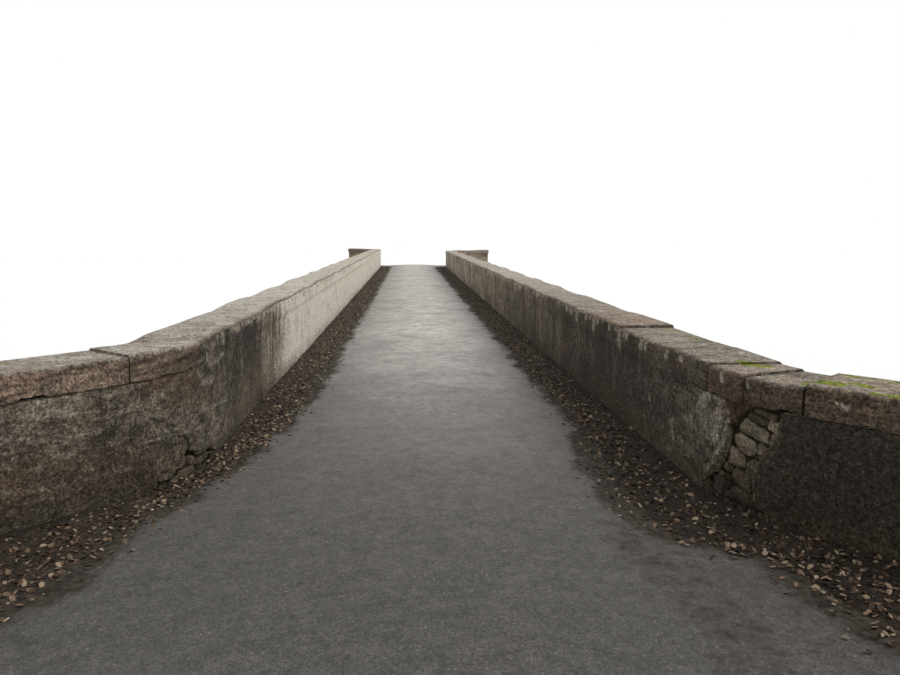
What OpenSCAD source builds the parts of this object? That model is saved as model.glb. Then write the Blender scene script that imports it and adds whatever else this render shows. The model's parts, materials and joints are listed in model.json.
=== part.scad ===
// Stone road bridge of three segmental arches, with rendered parapets under flat coping slabs.
// The road runs along Y with the near end at -Y, and right is +X.
// The origin is under the middle of the bridge, level with the feet of the piers.

/* [Roadway] */
// Clear width between the rendered faces of the two parapets
clear_width = 3480; // [3200:10:4600]
// Length of road from each outer springing to its end face
approach_length = 5050; // [4800:50:5200]
// Thickness of the tarmac carriageway at its edges
pavement_thickness = 120; // [80:5:160]
// Rise of the carriageway from its edges to its crown
camber = 45; // [15:5:80]
// Width of the earth margin between the tarmac and the render
margin_width = 440; // [250:10:700]
// Height of the earth margin above the carriageway's edge
margin_rise = 15; // [5:1:40]

/* [Arches] */
// Clear span of each arch between its springings
arch_span = 8900; // [8000:50:9000]
// Rise of each arch from its springings to its crown
arch_rise = 2050; // [1600:50:2500]
// Depth of the dressed face rings
ring_depth = 420; // [320:10:480]
// Thickness of the vault between the face rings
barrel_thickness = 380; // [260:10:460]
// Height from the top of a face ring at its crown to the carriageway's edge
crown_cover = 350; // [250:10:600]
// Number of wedge-shaped stones from springing to springing
voussoir_count = 29; // [21:2:37]
// Width of the bed joints between those stones
bed_joint = 3; // [2:0.5:6]
// Width and depth of the worn arris beside each joint of a face ring
worn_arris = 14; // [8:1:25]

/* [Piers and abutments] */
// Height of the springings above the feet of the piers
spring_height = 2000; // [1400:50:2800]
// Thickness of each pier along the road
pier_thickness = 1400; // [1250:50:1550]
// Height of the plinth under each pier
plinth_height = 350; // [200:10:500]
// Projection of the plinth on every side of its pier
plinth_spread = 120; // [60:10:200]
// Reach of each cutwater beyond the face of the bridge
cutwater_reach = 950; // [700:10:1300]
// Height of the cutwaters above the springings
cutwater_rise = 300; // [150:10:500]
// Height of the sloping cap on each cutwater
cap_height = 750; // [500:10:1000]
// Height of the square edge at the foot of each cap
cap_edge = 90; // [60:5:140]
// Projection of the caps beyond the cutwater faces
cap_drip = 40; // [20:5:70]
// Thickness of each abutment behind its springing
abutment_thickness = 1500; // [1200:50:1800]

/* [Parapets] */
// Height of the left parapet from the carriageway's edge to the top of its coping
left_height = 955; // [750:5:1200]
// Height of the right parapet from the carriageway's edge to the top of its coping
right_height = 880; // [750:5:1200]
// Thickness of the masonry of the parapets, spandrels and wing walls
wall_thickness = 440; // [360:10:520]
// Thickness of the render on the parapets' inner faces
render_thickness = 25; // [15:1:40]
// Length of road beside the splay at the near left and far right corners
long_splay = 3000; // [2400:50:3400]
// Length of road beside the splay at the near right and far left corners
short_splay = 2200; // [1800:50:2800]
// Radius of the rendered face where a parapet turns outwards
splay_radius = 1100; // [900:10:1400]
// Angle through which each parapet turns outwards
splay_angle = 40; // [25:1:50]

/* [Coping] */
// Width of the coping slabs
coping_width = 520; // [480:5:600]
// Mean thickness of the coping slabs
coping_thickness = 180; // [120:5:240]
// Projection of the coping over the rendered face
coping_lip = 5; // [0:1:40]
// Radius of the worn upper arrises of the coping
coping_arris = 28; // [10:1:45]
// Mean length of a coping slab
slab_length = 850; // [600:10:1200]
// Gap between neighbouring slabs
slab_joint = 14; // [6:1:20]
// Greatest difference of a slab's thickness from the mean
slab_variation = 14; // [0:1:25]

/* [Lost render] */
// Width of the patch where render has fallen from the near right splay
patch_width = 640; // [400:10:700]
// Distance from the start of the near right splay to the patch
patch_start = 0; // [0:5:60]
// Length of the broken lower edge of the render at the near left end
undercut_length = 1000; // [700:10:1300]
// Greatest height of that broken edge above the margin
undercut_height = 330; // [150:5:420]
// Depth to which the masonry has washed out behind the lost render
washed_out = 35; // [5:1:60]

/* [Hidden] */

// Smoothness of the large curves, and the overrun of every cutting solid
$fn = 96;
overrun = 50;

// Sides and ends of the bridge
LEFT = -1;
RIGHT = 1;
NEAR = -1;
FAR = 1;

// Levels above the feet of the piers
crown_z = spring_height + arch_rise;
road_z = crown_z + ring_depth + crown_cover;
formation_z = road_z - pavement_thickness;
margin_z = road_z + margin_rise;

// Distances across the bridge from its centre line
half_clear = clear_width / 2;
inner_x = half_clear + render_thickness;
outer_x = inner_x + wall_thickness;
coping_x = half_clear - coping_lip;

// Distances along the bridge from its middle
bay = arch_span + pier_thickness;
pier_y = bay / 2;
abutment_y = bay + arch_span / 2;
end_y = abutment_y + approach_length;

// A size beyond the whole bridge, for plans that are cut to one side or corner
beyond = 2 * end_y;

// Circle of the arches
arch_radius = (pow(arch_span / 2, 2) + pow(arch_rise, 2)) / (2 * arch_rise);
arch_centre_z = crown_z - arch_radius;

// Share of the undercut's length that lies on the splay
undercut_share = 0.62;

// Lengths of the coping slabs as they follow each other, in shares of the mean length
SLAB_RHYTHM = [0.80, 0.42, 1.12, 1.36, 0.93, 1.24, 0.72, 1.45, 0.96];
shortest_slab = slab_length / 3;
splay_slab_count = 2;

// Colours as seen in daylight
TARMAC = [0.46, 0.45, 0.44];
EARTH = [0.34, 0.27, 0.21];
FILL = [0.45, 0.40, 0.34];
RUBBLE = [0.47, 0.43, 0.38];
DRESSED = [0.55, 0.50, 0.44];
RENDER = [0.53, 0.49, 0.44];
COPING = [0.58, 0.55, 0.50];

// Level of the top of one parapet's masonry, under its coping
function wall_top(side) =
    road_z + (side < 0 ? left_height : right_height) - coping_thickness;

// Distance from mid-span to the start of the splay at one corner
function splay_y(side, end) = end_y - (side * end > 0 ? long_splay : short_splay);

// Centre of the splay's curve, for a corner turned to the right and far end
function splay_centre(y) = [half_clear + splay_radius, y];

// Point on the splay's curve at a distance inside the rendered face, after a turn
function splay_point(y, inset, turn) =
    splay_centre(y) + (splay_radius + inset) * [-cos(turn), sin(turn)];

// Point where a line at a distance inside the rendered face meets the end of the bridge
function end_point(y, inset) =
    let (p = splay_point(y, inset, splay_angle))
    [p.x + (end_y - p.y) * tan(splay_angle), end_y];

// Length of the straight stretch of a splay, whose coping ends at the end face
function tail_length(y) =
    (end_y - splay_point(y, coping_lip, splay_angle).y) / cos(splay_angle);

// Plan points of one corner of the roadway, from the straight parapet to the end face
function corner_points(side, end, inset) =
    let (y = splay_y(side, end))
    [for (p = [
        splay_point(y, inset, 0),
        splay_centre(y),
        splay_point(y, inset, splay_angle),
        end_point(y, inset)
    ]) [side * p.x, end * p.y]];

function reversed(list) = [for (i = [len(list) - 1 : -1 : 0]) list[i]];

// Starts of the coping slabs on a run, with the end of the run as the last value
function slab_starts(run, first = 0) = [
    for (
        i = first, s = 0;
        s < run - shortest_slab;
        s = s + slab_length * SLAB_RHYTHM[i % len(SLAB_RHYTHM)], i = i + 1
    ) s,
    run
];

// Thickness of one slab of a row
function slab_depth(i) = coping_thickness + slab_variation * sin(137 * i + 40);

// Turns a corner drawn at the right and far end to the corner that is named
module at_corner(side, end) {
    mirror([side < 0 ? 1 : 0, 0, 0])
        mirror([0, end < 0 ? 1 : 0, 0])
            children();
}

// Places a straight piece along the outer stretch of a splay, with Y along the wall
module along_tail(y) {
    start = splay_point(y, 0, splay_angle);
    translate([start.x, start.y, 0])
        rotate([0, 0, -splay_angle])
            children();
}

// Straight wall between the splays of one side, measured from the centre line
module side_wall(side, inner, outer, bottom, top) {
    near_y = splay_y(side, NEAR);
    far_y = splay_y(side, FAR);
    translate([side > 0 ? inner : -outer, -near_y, bottom])
        cube([outer - inner, near_y + far_y, top - bottom]);
}

// Plan of the roadway at a distance inside the rendered faces
module roadway_plan(inset) {
    difference() {
        polygon(concat(
            reversed(corner_points(RIGHT, NEAR, inset)),
            corner_points(RIGHT, FAR, inset),
            reversed(corner_points(LEFT, FAR, inset)),
            corner_points(LEFT, NEAR, inset)
        ));
        for (side = [LEFT, RIGHT], end = [NEAR, FAR])
            at_corner(side, end)
                translate(splay_centre(splay_y(side, end)))
                    circle(r = splay_radius + inset);
    }
}

// Plan of a band along one side, between two distances behind the rendered face,
// with its ends square to the splays
module side_band(side, inner, outer) {
    difference() {
        intersection() {
            roadway_plan(-outer);
            translate([side > 0 ? 0 : -beyond, -beyond / 2])
                square([beyond, beyond]);
        }
        roadway_plan(-inner);
        for (end = [NEAR, FAR])
            at_corner(side, end)
                along_tail(splay_y(side, end))
                    translate([-beyond, tail_length(splay_y(side, end))])
                        square([2 * beyond, beyond]);
    }
}

// Splayed wall at one corner, between two distances behind the rendered face
module splay_wall(side, end, inner, outer, bottom, top) {
    translate([0, 0, bottom])
        linear_extrude(height = top - bottom)
            intersection() {
                side_band(side, inner, outer);
                at_corner(side, end)
                    translate([0, splay_y(side, end)])
                        square([beyond, beyond]);
            }
}

// Section of a coping slab with worn upper arrises, from its inner lower edge
module slab_section(depth) {
    square([coping_width, depth - coping_arris]);
    translate([coping_arris, 0])
        square([coping_width - 2 * coping_arris, depth]);
    for (x = [coping_arris, coping_width - coping_arris])
        translate([x, depth - coping_arris])
            circle(r = coping_arris, $fn = 48);
}

// Straight coping slab from its inner lower edge, with its length along Y
module straight_slab(length, depth) {
    translate([0, length, 0])
        rotate([90, 0, 0])
            linear_extrude(height = length)
                slab_section(depth);
}

// Curved coping slab of a splay, between two turns
module curved_slab(y, depth, from_turn, to_turn) {
    centre = splay_centre(y);
    translate([centre.x, centre.y, 0])
        rotate([0, 0, 180 - to_turn])
            rotate_extrude(angle = to_turn - from_turn)
                translate([splay_radius + coping_lip, 0])
                    mirror([1, 0])
                        slab_section(depth);
}

// Angle from the crown to the springing, on a circle at a distance outside the soffit
function end_sweep(depth) = acos((spring_height - arch_centre_z) / (arch_radius + depth));

// Angle from the crown to one bed joint, at a distance outside the soffit
function bed_angle(i, depth) =
    i == 0 ? -end_sweep(depth)
    : i == voussoir_count ? end_sweep(depth)
    : (2 * i / voussoir_count - 1) * end_sweep(0);

// Point on one bed joint, along the bridge and above the feet of the piers
function bed_point(i, depth) =
    let (a = bed_angle(i, depth), r = arch_radius + depth)
    [r * sin(a), arch_centre_z + r * cos(a)];

// Extends an outline, drawn along the bridge and upwards, across the bridge at one bay
module across(bay_index, from_x, to_x) {
    translate([from_x, bay_index * bay, 0])
        rotate([90, 0, 90])
            linear_extrude(height = to_x - from_x)
                children();
}

// Places a piece on every bed joint of one arch, with Z along the joint from the soffit
module at_beds(bay_index) {
    for (i = [1 : voussoir_count - 1])
        translate([0, bay_index * bay, arch_centre_z])
            rotate([-bed_angle(i, 0), 0, 0])
                translate([0, 0, arch_radius])
                    children();
}

// Space under the back of the stones of one arch, for cutting what lies on them
module arch_space(bay_index, depth) {
    foot = spring_height - overrun;
    across(bay_index, -outer_x - overrun, outer_x + overrun)
        polygon(concat(
            [[bed_point(0, depth).x, foot]],
            [for (i = [0 : voussoir_count]) bed_point(i, depth)],
            [[bed_point(voussoir_count, depth).x, foot]]
        ));
}

// Wedge-shaped stones of one arch, with open bed joints between them
module arch_stones(bay_index, depth, from_x, to_x) {
    difference() {
        across(bay_index, from_x, to_x)
            polygon(concat(
                [for (i = [0 : voussoir_count]) bed_point(i, depth)],
                [for (i = [voussoir_count : -1 : 0]) bed_point(i, 0)]
            ));
        at_beds(bay_index)
            translate([from_x - overrun, -bed_joint / 2, -overrun])
                cube([to_x - from_x + 2 * overrun, bed_joint, depth + 2 * overrun]);
    }
}

// Tarmac with a curved crown that fades out where the road widens
module carriageway() {
    half_crown = half_clear - margin_width;
    steps = 6;
    crown = [
        for (i = [-steps : steps])
            [i * half_crown / steps, camber * (1 - pow(i / steps, 2))]
    ];
    color(TARMAC)
        translate([0, 0, formation_z])
            intersection() {
                linear_extrude(height = pavement_thickness + camber)
                    roadway_plan(margin_width);
                translate([0, end_y, pavement_thickness])
                    rotate([90, 0, 0])
                        linear_extrude(height = 2 * end_y)
                            polygon(concat(
                                [[-beyond, -pavement_thickness], [-beyond, 0]],
                                crown,
                                [[beyond, 0], [beyond, -pavement_thickness]]
                            ));
            }
}

// Earth margin between the tarmac and one parapet
module margin(side) {
    color(EARTH)
        translate([0, 0, formation_z])
            linear_extrude(height = margin_z - formation_z)
                intersection() {
                    difference() {
                        roadway_plan(-render_thickness);
                        roadway_plan(margin_width);
                    }
                    translate([side > 0 ? 0 : -beyond, -beyond / 2])
                        square([beyond, beyond]);
                }
}

// Fill over the vaults and behind the abutments
module road_fill() {
    color(FILL)
        difference() {
            linear_extrude(height = formation_z)
                roadway_plan(-render_thickness);
            translate([-outer_x, -abutment_y, -overrun])
                cube([2 * outer_x, 2 * abutment_y, spring_height + overrun]);
            for (end = [NEAR, FAR])
                abutment_core(end, overrun);
            for (i = [-1, 0, 1])
                arch_space(i, barrel_thickness);
        }
}

// Vault of one arch between its face rings, laid in courses across the bridge
module barrel(bay_index) {
    color(RUBBLE)
        arch_stones(bay_index, barrel_thickness, -inner_x, inner_x);
}

// Dressed face ring of one arch, whose voussoirs have worn arrises on the outer face
module ring(bay_index, side) {
    groove = worn_arris * sqrt(2);
    color(DRESSED)
        difference() {
            if (side > 0)
                arch_stones(bay_index, ring_depth, inner_x, outer_x);
            else
                arch_stones(bay_index, ring_depth, -outer_x, -inner_x);
            at_beds(bay_index)
                translate([side * outer_x, 0, -overrun])
                    rotate([0, 0, 45])
                        translate([-groove / 2, -groove / 2, 0])
                            cube([groove, groove, ring_depth + 2 * overrun]);
        }
}

// Plan of a pier with its two cutwaters, spread evenly on all sides
module pier_plan(spread) {
    half = pier_thickness / 2 + spread;
    tip = outer_x + cutwater_reach * half / (pier_thickness / 2);
    polygon([
        [-tip, 0], [-outer_x, -half], [outer_x, -half],
        [tip, 0], [outer_x, half], [-outer_x, half]
    ]);
}

// Plinth under one pier and its cutwaters
module plinth(end) {
    color(DRESSED)
        translate([0, end * pier_y, 0])
            linear_extrude(height = plinth_height)
                pier_plan(plinth_spread);
}

// Shaft of one pier from its plinth to the springings
module pier(end) {
    color(RUBBLE)
        translate([-outer_x, end * pier_y - pier_thickness / 2, plinth_height])
            cube([2 * outer_x, pier_thickness, spring_height - plinth_height]);
}

// Pointed cutwater on one side of a pier
module cutwater(side, end) {
    color(DRESSED)
        translate([0, end * pier_y, plinth_height])
            linear_extrude(height = spring_height + cutwater_rise - plinth_height)
                polygon([
                    [side * outer_x, -pier_thickness / 2],
                    [side * (outer_x + cutwater_reach), 0],
                    [side * outer_x, pier_thickness / 2]
                ]);
}

// Sloping caps on the two cutwaters of one pier
module cutwater_caps(end) {
    half = pier_thickness / 2 + cap_drip;
    reach = cutwater_reach * half / (pier_thickness / 2);
    color(DRESSED)
        translate([0, end * pier_y, spring_height + cutwater_rise])
            for (side = [LEFT, RIGHT])
                mirror([side < 0 ? 1 : 0, 0, 0])
                    translate([outer_x, 0, 0])
                        polyhedron(
                            points = [
                                [0, -half, 0], [reach, 0, 0], [0, half, 0],
                                [0, -half, cap_edge], [reach, 0, cap_edge], [0, half, cap_edge],
                                [0, 0, cap_height]
                            ],
                            faces = [
                                [0, 1, 2], [0, 3, 4, 1], [1, 4, 5, 2],
                                [3, 6, 4], [4, 6, 5], [0, 2, 5, 6, 3]
                            ]
                        );
}

// Block of an abutment between its side walls, drawn down below its foot as a cutter
module abutment_core(end, below = 0) {
    mirror([0, end < 0 ? 1 : 0, 0])
        translate([-inner_x, abutment_y, -below])
            cube([2 * inner_x, abutment_thickness, spring_height + below]);
}

// Plan of an abutment with side walls that run back to the wing walls
module abutment_plan(end) {
    difference() {
        for (side = [LEFT, RIGHT])
            translate([side > 0 ? 0 : -outer_x, abutment_y])
                square([outer_x, splay_y(side, end) - abutment_y]);
        translate([-inner_x, abutment_y + abutment_thickness])
            square([2 * inner_x, approach_length]);
    }
}

// Abutment that carries one outer springing
module abutment(end) {
    color(RUBBLE)
        mirror([0, end < 0 ? 1 : 0, 0])
            linear_extrude(height = spring_height)
                abutment_plan(end);
}

// Spandrel wall of one side, over the three face rings
module spandrel(side) {
    color(RUBBLE)
        difference() {
            side_wall(side, inner_x, outer_x, spring_height, formation_z);
            for (i = [-1, 0, 1])
                arch_space(i, ring_depth);
        }
}

// Wing wall that retains the approach at one corner
module wing_wall(side, end) {
    color(RUBBLE)
        splay_wall(side, end, render_thickness, render_thickness + wall_thickness, 0, formation_z);
}

// Straight parapet of one side
module parapet(side) {
    color(RUBBLE)
        difference() {
            side_wall(side, inner_x, outer_x, formation_z, wall_top(side));
            if (side < 0)
                broken_edge(render_thickness + washed_out);
        }
}

// Splayed end of a parapet
module parapet_wing(side, end) {
    color(RUBBLE)
        difference() {
            splay_wall(
                side, end, render_thickness, render_thickness + wall_thickness, formation_z, wall_top(side)
            );
            if (side > 0 && end < 0)
                fallen_patch(render_thickness + washed_out);
            if (side < 0 && end < 0)
                broken_edge(render_thickness + washed_out);
        }
}

// Outline of the fallen patch, along the wall and up from the margin
function patch_outline(height) = [
    for (p = [
        [-0.05, -0.10], [0.00, 0.13], [0.22, 0.27], [0.37, 0.50], [0.39, 0.66], [0.42, 0.82],
        [0.36, 0.93], [0.33, 1.10], [0.99, 1.10], [1.00, 0.95], [0.99, 0.77], [0.89, 0.65],
        [0.80, 0.52], [0.76, 0.37], [0.77, 0.17], [0.93, 0.06], [0.97, -0.10]
    ]) [p.x * patch_width, p.y * height]
];

// Outline of the broken lower edge, along the wall from the near end and up from the margin
function undercut_outline() = [
    for (p = [
        [0.00, -0.10], [0.00, 0.55], [0.03, 0.93], [0.13, 0.90], [0.14, 1.00], [0.26, 0.97],
        [0.34, 0.84], [0.36, 0.55], [0.42, 0.50], [0.50, 0.36], [0.60, 0.32], [0.78, 0.31],
        [0.85, 0.12], [0.94, 0.06], [1.00, -0.10]
    ]) [p.x * undercut_length, p.y * undercut_height]
];

// Band along the render of one side, from in front of it to a depth behind its face
module face_band(side, depth) {
    translate([0, 0, margin_z - overrun])
        linear_extrude(height = wall_top(side) - margin_z + 2 * overrun)
            side_band(side, -overrun, depth);
}

// Cutter for the patch on the near right splay, to a depth behind the rendered face
module fallen_patch(depth) {
    centre = splay_centre(splay_y(RIGHT, NEAR));
    middle_turn = (patch_start + patch_width / 2) / splay_radius * 180 / PI;
    intersection() {
        face_band(RIGHT, depth);
        at_corner(RIGHT, NEAR)
            translate([centre.x, centre.y, margin_z])
                rotate([90, 0, 90 - middle_turn])
                    translate([-patch_width / 2, 0, -2 * splay_radius])
                        linear_extrude(height = 2 * splay_radius)
                            polygon(patch_outline(wall_top(RIGHT) - margin_z));
    }
}

// Cutter for the broken lower edge at the near left end, to a depth behind the rendered face
module broken_edge(depth) {
    near_y = splay_y(LEFT, NEAR) + undercut_length * undercut_share;
    intersection() {
        face_band(LEFT, depth);
        translate([-beyond, -near_y, margin_z])
            rotate([90, 0, 90])
                linear_extrude(height = beyond)
                    polygon(undercut_outline());
    }
}

// Render on the inner face of one parapet and its splays
module render_coat(side) {
    color(RENDER)
        difference() {
            translate([0, 0, margin_z])
                linear_extrude(height = wall_top(side) - margin_z)
                    side_band(side, 0, render_thickness);
            if (side > 0)
                fallen_patch(render_thickness + overrun);
            else
                broken_edge(render_thickness + overrun);
        }
}

// Coping slabs on the straight parapet of one side, laid from the near end
module coping(side) {
    near_y = splay_y(side, NEAR);
    starts = slab_starts(near_y + splay_y(side, FAR), side > 0 ? 0 : 4);
    color(COPING)
        for (i = [0 : len(starts) - 2])
            translate([
                side > 0 ? coping_x : -coping_x - coping_width,
                starts[i] + slab_joint / 2 - near_y,
                wall_top(side)
            ])
                straight_slab(starts[i + 1] - starts[i] - slab_joint, slab_depth(i));
}

// Coping slabs round one splay
module coping_wing(side, end) {
    y = splay_y(side, end);
    starts = slab_starts(tail_length(y), 2);
    slab_turn = splay_angle / splay_slab_count;
    joint_turn = slab_joint / 2 / splay_radius * 180 / PI;
    color(COPING)
        at_corner(side, end)
            translate([0, 0, wall_top(side)]) {
                for (i = [0 : splay_slab_count - 1])
                    curved_slab(
                        y, slab_depth(i + side),
                        i * slab_turn + joint_turn, (i + 1) * slab_turn - joint_turn
                    );
                along_tail(y)
                    for (i = [0 : len(starts) - 2])
                        translate([-coping_lip, starts[i] + slab_joint / 2, 0])
                            straight_slab(
                                starts[i + 1] - starts[i] - (i < len(starts) - 2 ? slab_joint : slab_joint / 2),
                                slab_depth(i + 3 * side)
                            );
            }
}

carriageway();
margin(LEFT);  // margin_left
margin(RIGHT);  // margin_right
road_fill();
barrel(-1);  // barrel_near
barrel(0);  // barrel_middle
barrel(1);  // barrel_far
ring(-1, LEFT);  // ring_near_left
ring(-1, RIGHT);  // ring_near_right
ring(0, LEFT);  // ring_middle_left
ring(0, RIGHT);  // ring_middle_right
ring(1, LEFT);  // ring_far_left
ring(1, RIGHT);  // ring_far_right
plinth(NEAR);  // plinth_near
plinth(FAR);  // plinth_far
pier(NEAR);  // pier_near
pier(FAR);  // pier_far
cutwater(LEFT, NEAR);  // cutwater_near_left
cutwater(RIGHT, NEAR);  // cutwater_near_right
cutwater(LEFT, FAR);  // cutwater_far_left
cutwater(RIGHT, FAR);  // cutwater_far_right
cutwater_caps(NEAR);  // cutwater_caps_near
cutwater_caps(FAR);  // cutwater_caps_far
abutment(NEAR);  // abutment_near
abutment(FAR);  // abutment_far
spandrel(LEFT);  // spandrel_left
spandrel(RIGHT);  // spandrel_right
wing_wall(LEFT, NEAR);  // wing_wall_near_left
wing_wall(RIGHT, NEAR);  // wing_wall_near_right
wing_wall(LEFT, FAR);  // wing_wall_far_left
wing_wall(RIGHT, FAR);  // wing_wall_far_right
parapet(LEFT);  // parapet_left
parapet(RIGHT);  // parapet_right
parapet_wing(LEFT, NEAR);  // parapet_wing_near_left
parapet_wing(RIGHT, NEAR);  // parapet_wing_near_right
parapet_wing(LEFT, FAR);  // parapet_wing_far_left
parapet_wing(RIGHT, FAR);  // parapet_wing_far_right
render_coat(LEFT);  // render_left
render_coat(RIGHT);  // render_right
coping(LEFT);  // coping_left
coping(RIGHT);  // coping_right
coping_wing(LEFT, NEAR);  // coping_wing_near_left
coping_wing(RIGHT, NEAR);  // coping_wing_near_right
coping_wing(LEFT, FAR);  // coping_wing_far_left
coping_wing(RIGHT, FAR);  // coping_wing_far_right
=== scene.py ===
import json
import math

import bpy
import numpy as np
from mathutils import Euler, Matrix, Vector


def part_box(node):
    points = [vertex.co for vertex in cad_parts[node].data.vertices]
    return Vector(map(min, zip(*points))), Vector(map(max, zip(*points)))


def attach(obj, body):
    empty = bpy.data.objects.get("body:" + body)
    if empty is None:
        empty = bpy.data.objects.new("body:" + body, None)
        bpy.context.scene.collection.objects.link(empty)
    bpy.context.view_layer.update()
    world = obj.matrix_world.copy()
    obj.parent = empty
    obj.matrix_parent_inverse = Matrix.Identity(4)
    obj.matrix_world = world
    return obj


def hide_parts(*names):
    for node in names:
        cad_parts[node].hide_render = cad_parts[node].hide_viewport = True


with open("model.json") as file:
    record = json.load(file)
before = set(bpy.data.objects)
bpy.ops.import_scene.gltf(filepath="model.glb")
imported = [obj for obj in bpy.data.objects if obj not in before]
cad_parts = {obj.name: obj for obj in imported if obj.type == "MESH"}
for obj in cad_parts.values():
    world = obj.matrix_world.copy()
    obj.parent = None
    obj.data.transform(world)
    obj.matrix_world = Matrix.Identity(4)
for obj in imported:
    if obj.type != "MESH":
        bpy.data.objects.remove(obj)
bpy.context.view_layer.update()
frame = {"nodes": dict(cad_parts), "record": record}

# Sizes taken from the CAD part, in metres
LEFT, RIGHT = -1, 1
NEAR, FAR = -1, 1
SIDE_NAMES = {LEFT: "left", RIGHT: "right"}
END_NAMES = {NEAR: "near", FAR: "far"}
BAY_NAMES = {-1: "near", 0: "middle", 1: "far"}

FACE_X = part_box("render_right")[0].x
OUTER_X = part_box("parapet_right")[1].x
FORMATION_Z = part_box("carriageway")[0].z
CROWN_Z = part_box("carriageway")[1].z
MARGIN_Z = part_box("margin_left")[1].z
WALL_TOP = {side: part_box("parapet_" + SIDE_NAMES[side])[1].z for side in (LEFT, RIGHT)}
END_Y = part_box("road_fill")[1].y
SPRING_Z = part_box("pier_near")[1].z
PLINTH_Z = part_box("plinth_near")[1].z
PIER_LOW, PIER_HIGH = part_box("pier_far")
PIER_Y = (PIER_LOW.y + PIER_HIGH.y) / 2
HALF_PIER = (PIER_HIGH.y - PIER_LOW.y) / 2
ABUTMENT_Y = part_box("abutment_far")[0].y
CUTWATER_TIP_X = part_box("cutwater_far_right")[1].x
CUTWATER_TOP_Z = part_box("cutwater_far_right")[1].z
CAP_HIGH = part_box("cutwater_caps_far")[1]
BAY = 2 * PIER_Y

# Sizes that the boxes of the nodes don't show, as in the part's source
RENDER_THICKNESS = 0.025
WALL_THICKNESS = OUTER_X - FACE_X - RENDER_THICKNESS
WASHED_OUT = 0.035
MARGIN_WIDTH = 0.44
MARGIN_RISE = 0.015
ROAD_Z = MARGIN_Z - MARGIN_RISE
SPLAY_RADIUS = 1.1
SPLAY_ANGLE = math.radians(40)
COPING_LIP = 0.005
COPING_WIDTH = 0.52
COPING_ARRIS = 0.028
COPING_THICKNESS = 0.18
SLAB_VARIATION = 0.014
SLAB_LENGTH = 0.85
SLAB_JOINT = 0.014
SLAB_RHYTHM = (0.80, 0.42, 1.12, 1.36, 0.93, 1.24, 0.72, 1.45, 0.96)
SPLAY_SLABS = 2
FIRST_SLAB = {LEFT: 4, RIGHT: 0}
FIRST_SLAB_PAST_BEND = 2
ARCH_SPAN = 2 * PIER_LOW.y
ARCH_RISE = 2.05
RING_DEPTH = 0.42
VOUSSOIRS = 29
ARCH_RADIUS = ((ARCH_SPAN / 2) ** 2 + ARCH_RISE ** 2) / (2 * ARCH_RISE)
ARCH_CENTRE_Z = SPRING_Z + ARCH_RISE - ARCH_RADIUS
CAP_EDGE = 0.09

# Drop of the coping at the near right end, and the stretch of the splay over which it comes on
SETTLED = 0.05
SETTLED_BETWEEN = (0.9, 2.3)

# Outlines of the lost render, in shares of the sizes below, along the wall and up from the margin
PATCH_SIZE = (0.64, WALL_TOP[RIGHT] - MARGIN_Z)
PATCH = (
    (-0.05, -0.10), (0.00, 0.13), (0.22, 0.27), (0.37, 0.50), (0.39, 0.66), (0.42, 0.82),
    (0.36, 0.93), (0.33, 1.10), (0.99, 1.10), (1.00, 0.95), (0.99, 0.77), (0.89, 0.65),
    (0.80, 0.52), (0.76, 0.37), (0.77, 0.17), (0.93, 0.06), (0.97, -0.10),
)
UNDERCUT_SIZE = (1.0, 0.33)
UNDERCUT_ON_SPLAY = 0.62
UNDERCUT = (
    (0.00, -0.10), (0.00, 0.55), (0.03, 0.93), (0.13, 0.90), (0.14, 1.00), (0.26, 0.97),
    (0.34, 0.84), (0.36, 0.55), (0.42, 0.50), (0.50, 0.36), (0.60, 0.32), (0.78, 0.31),
    (0.85, 0.12), (0.94, 0.06), (1.00, -0.10),
)

# The camera stands where the photographer stood
CAMERA_AT = (-0.21, -22.20, 6.535)
CAMERA_LENS = 29.2
CAMERA_SENSOR = 36.0
FOCAL_PIXELS = 730.0
HORIZON_PIXELS = 102.5
YAW_PIXELS = 41.0
CAMERA_PITCH = math.atan(HORIZON_PIXELS / FOCAL_PIXELS)
CAMERA_YAW = math.atan(YAW_PIXELS / FOCAL_PIXELS * math.cos(CAMERA_PITCH))

# Every kind of piece draws its own random numbers, from this seed and its own place after it
SEED = 1907
DRAWS = {
    "patch": 3, "undercut": 4, "coping": 10, "side_rubble": 20, "wing_rubble": 30, "abutments": 40,
    "piers": 50, "face_rings": 60, "vaults": 70, "cutwaters": 80, "bared": 90, "leaves": 100,
    "pebbles": 110, "fill": 120, "runs": 200, "fringe": 210,
}

# Finest and coarsest gap between stations along the road, and how the gap grows with the distance
COAT_GRADE = (0.011, 0.10, 0.0045)
SLAB_GRADE = (0.018, 0.09, 0.0055)
TARMAC_GRADE = (0.016, 0.11, 0.0048)
VERGE_GRADE = (0.014, 0.09, 0.0055)


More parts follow.
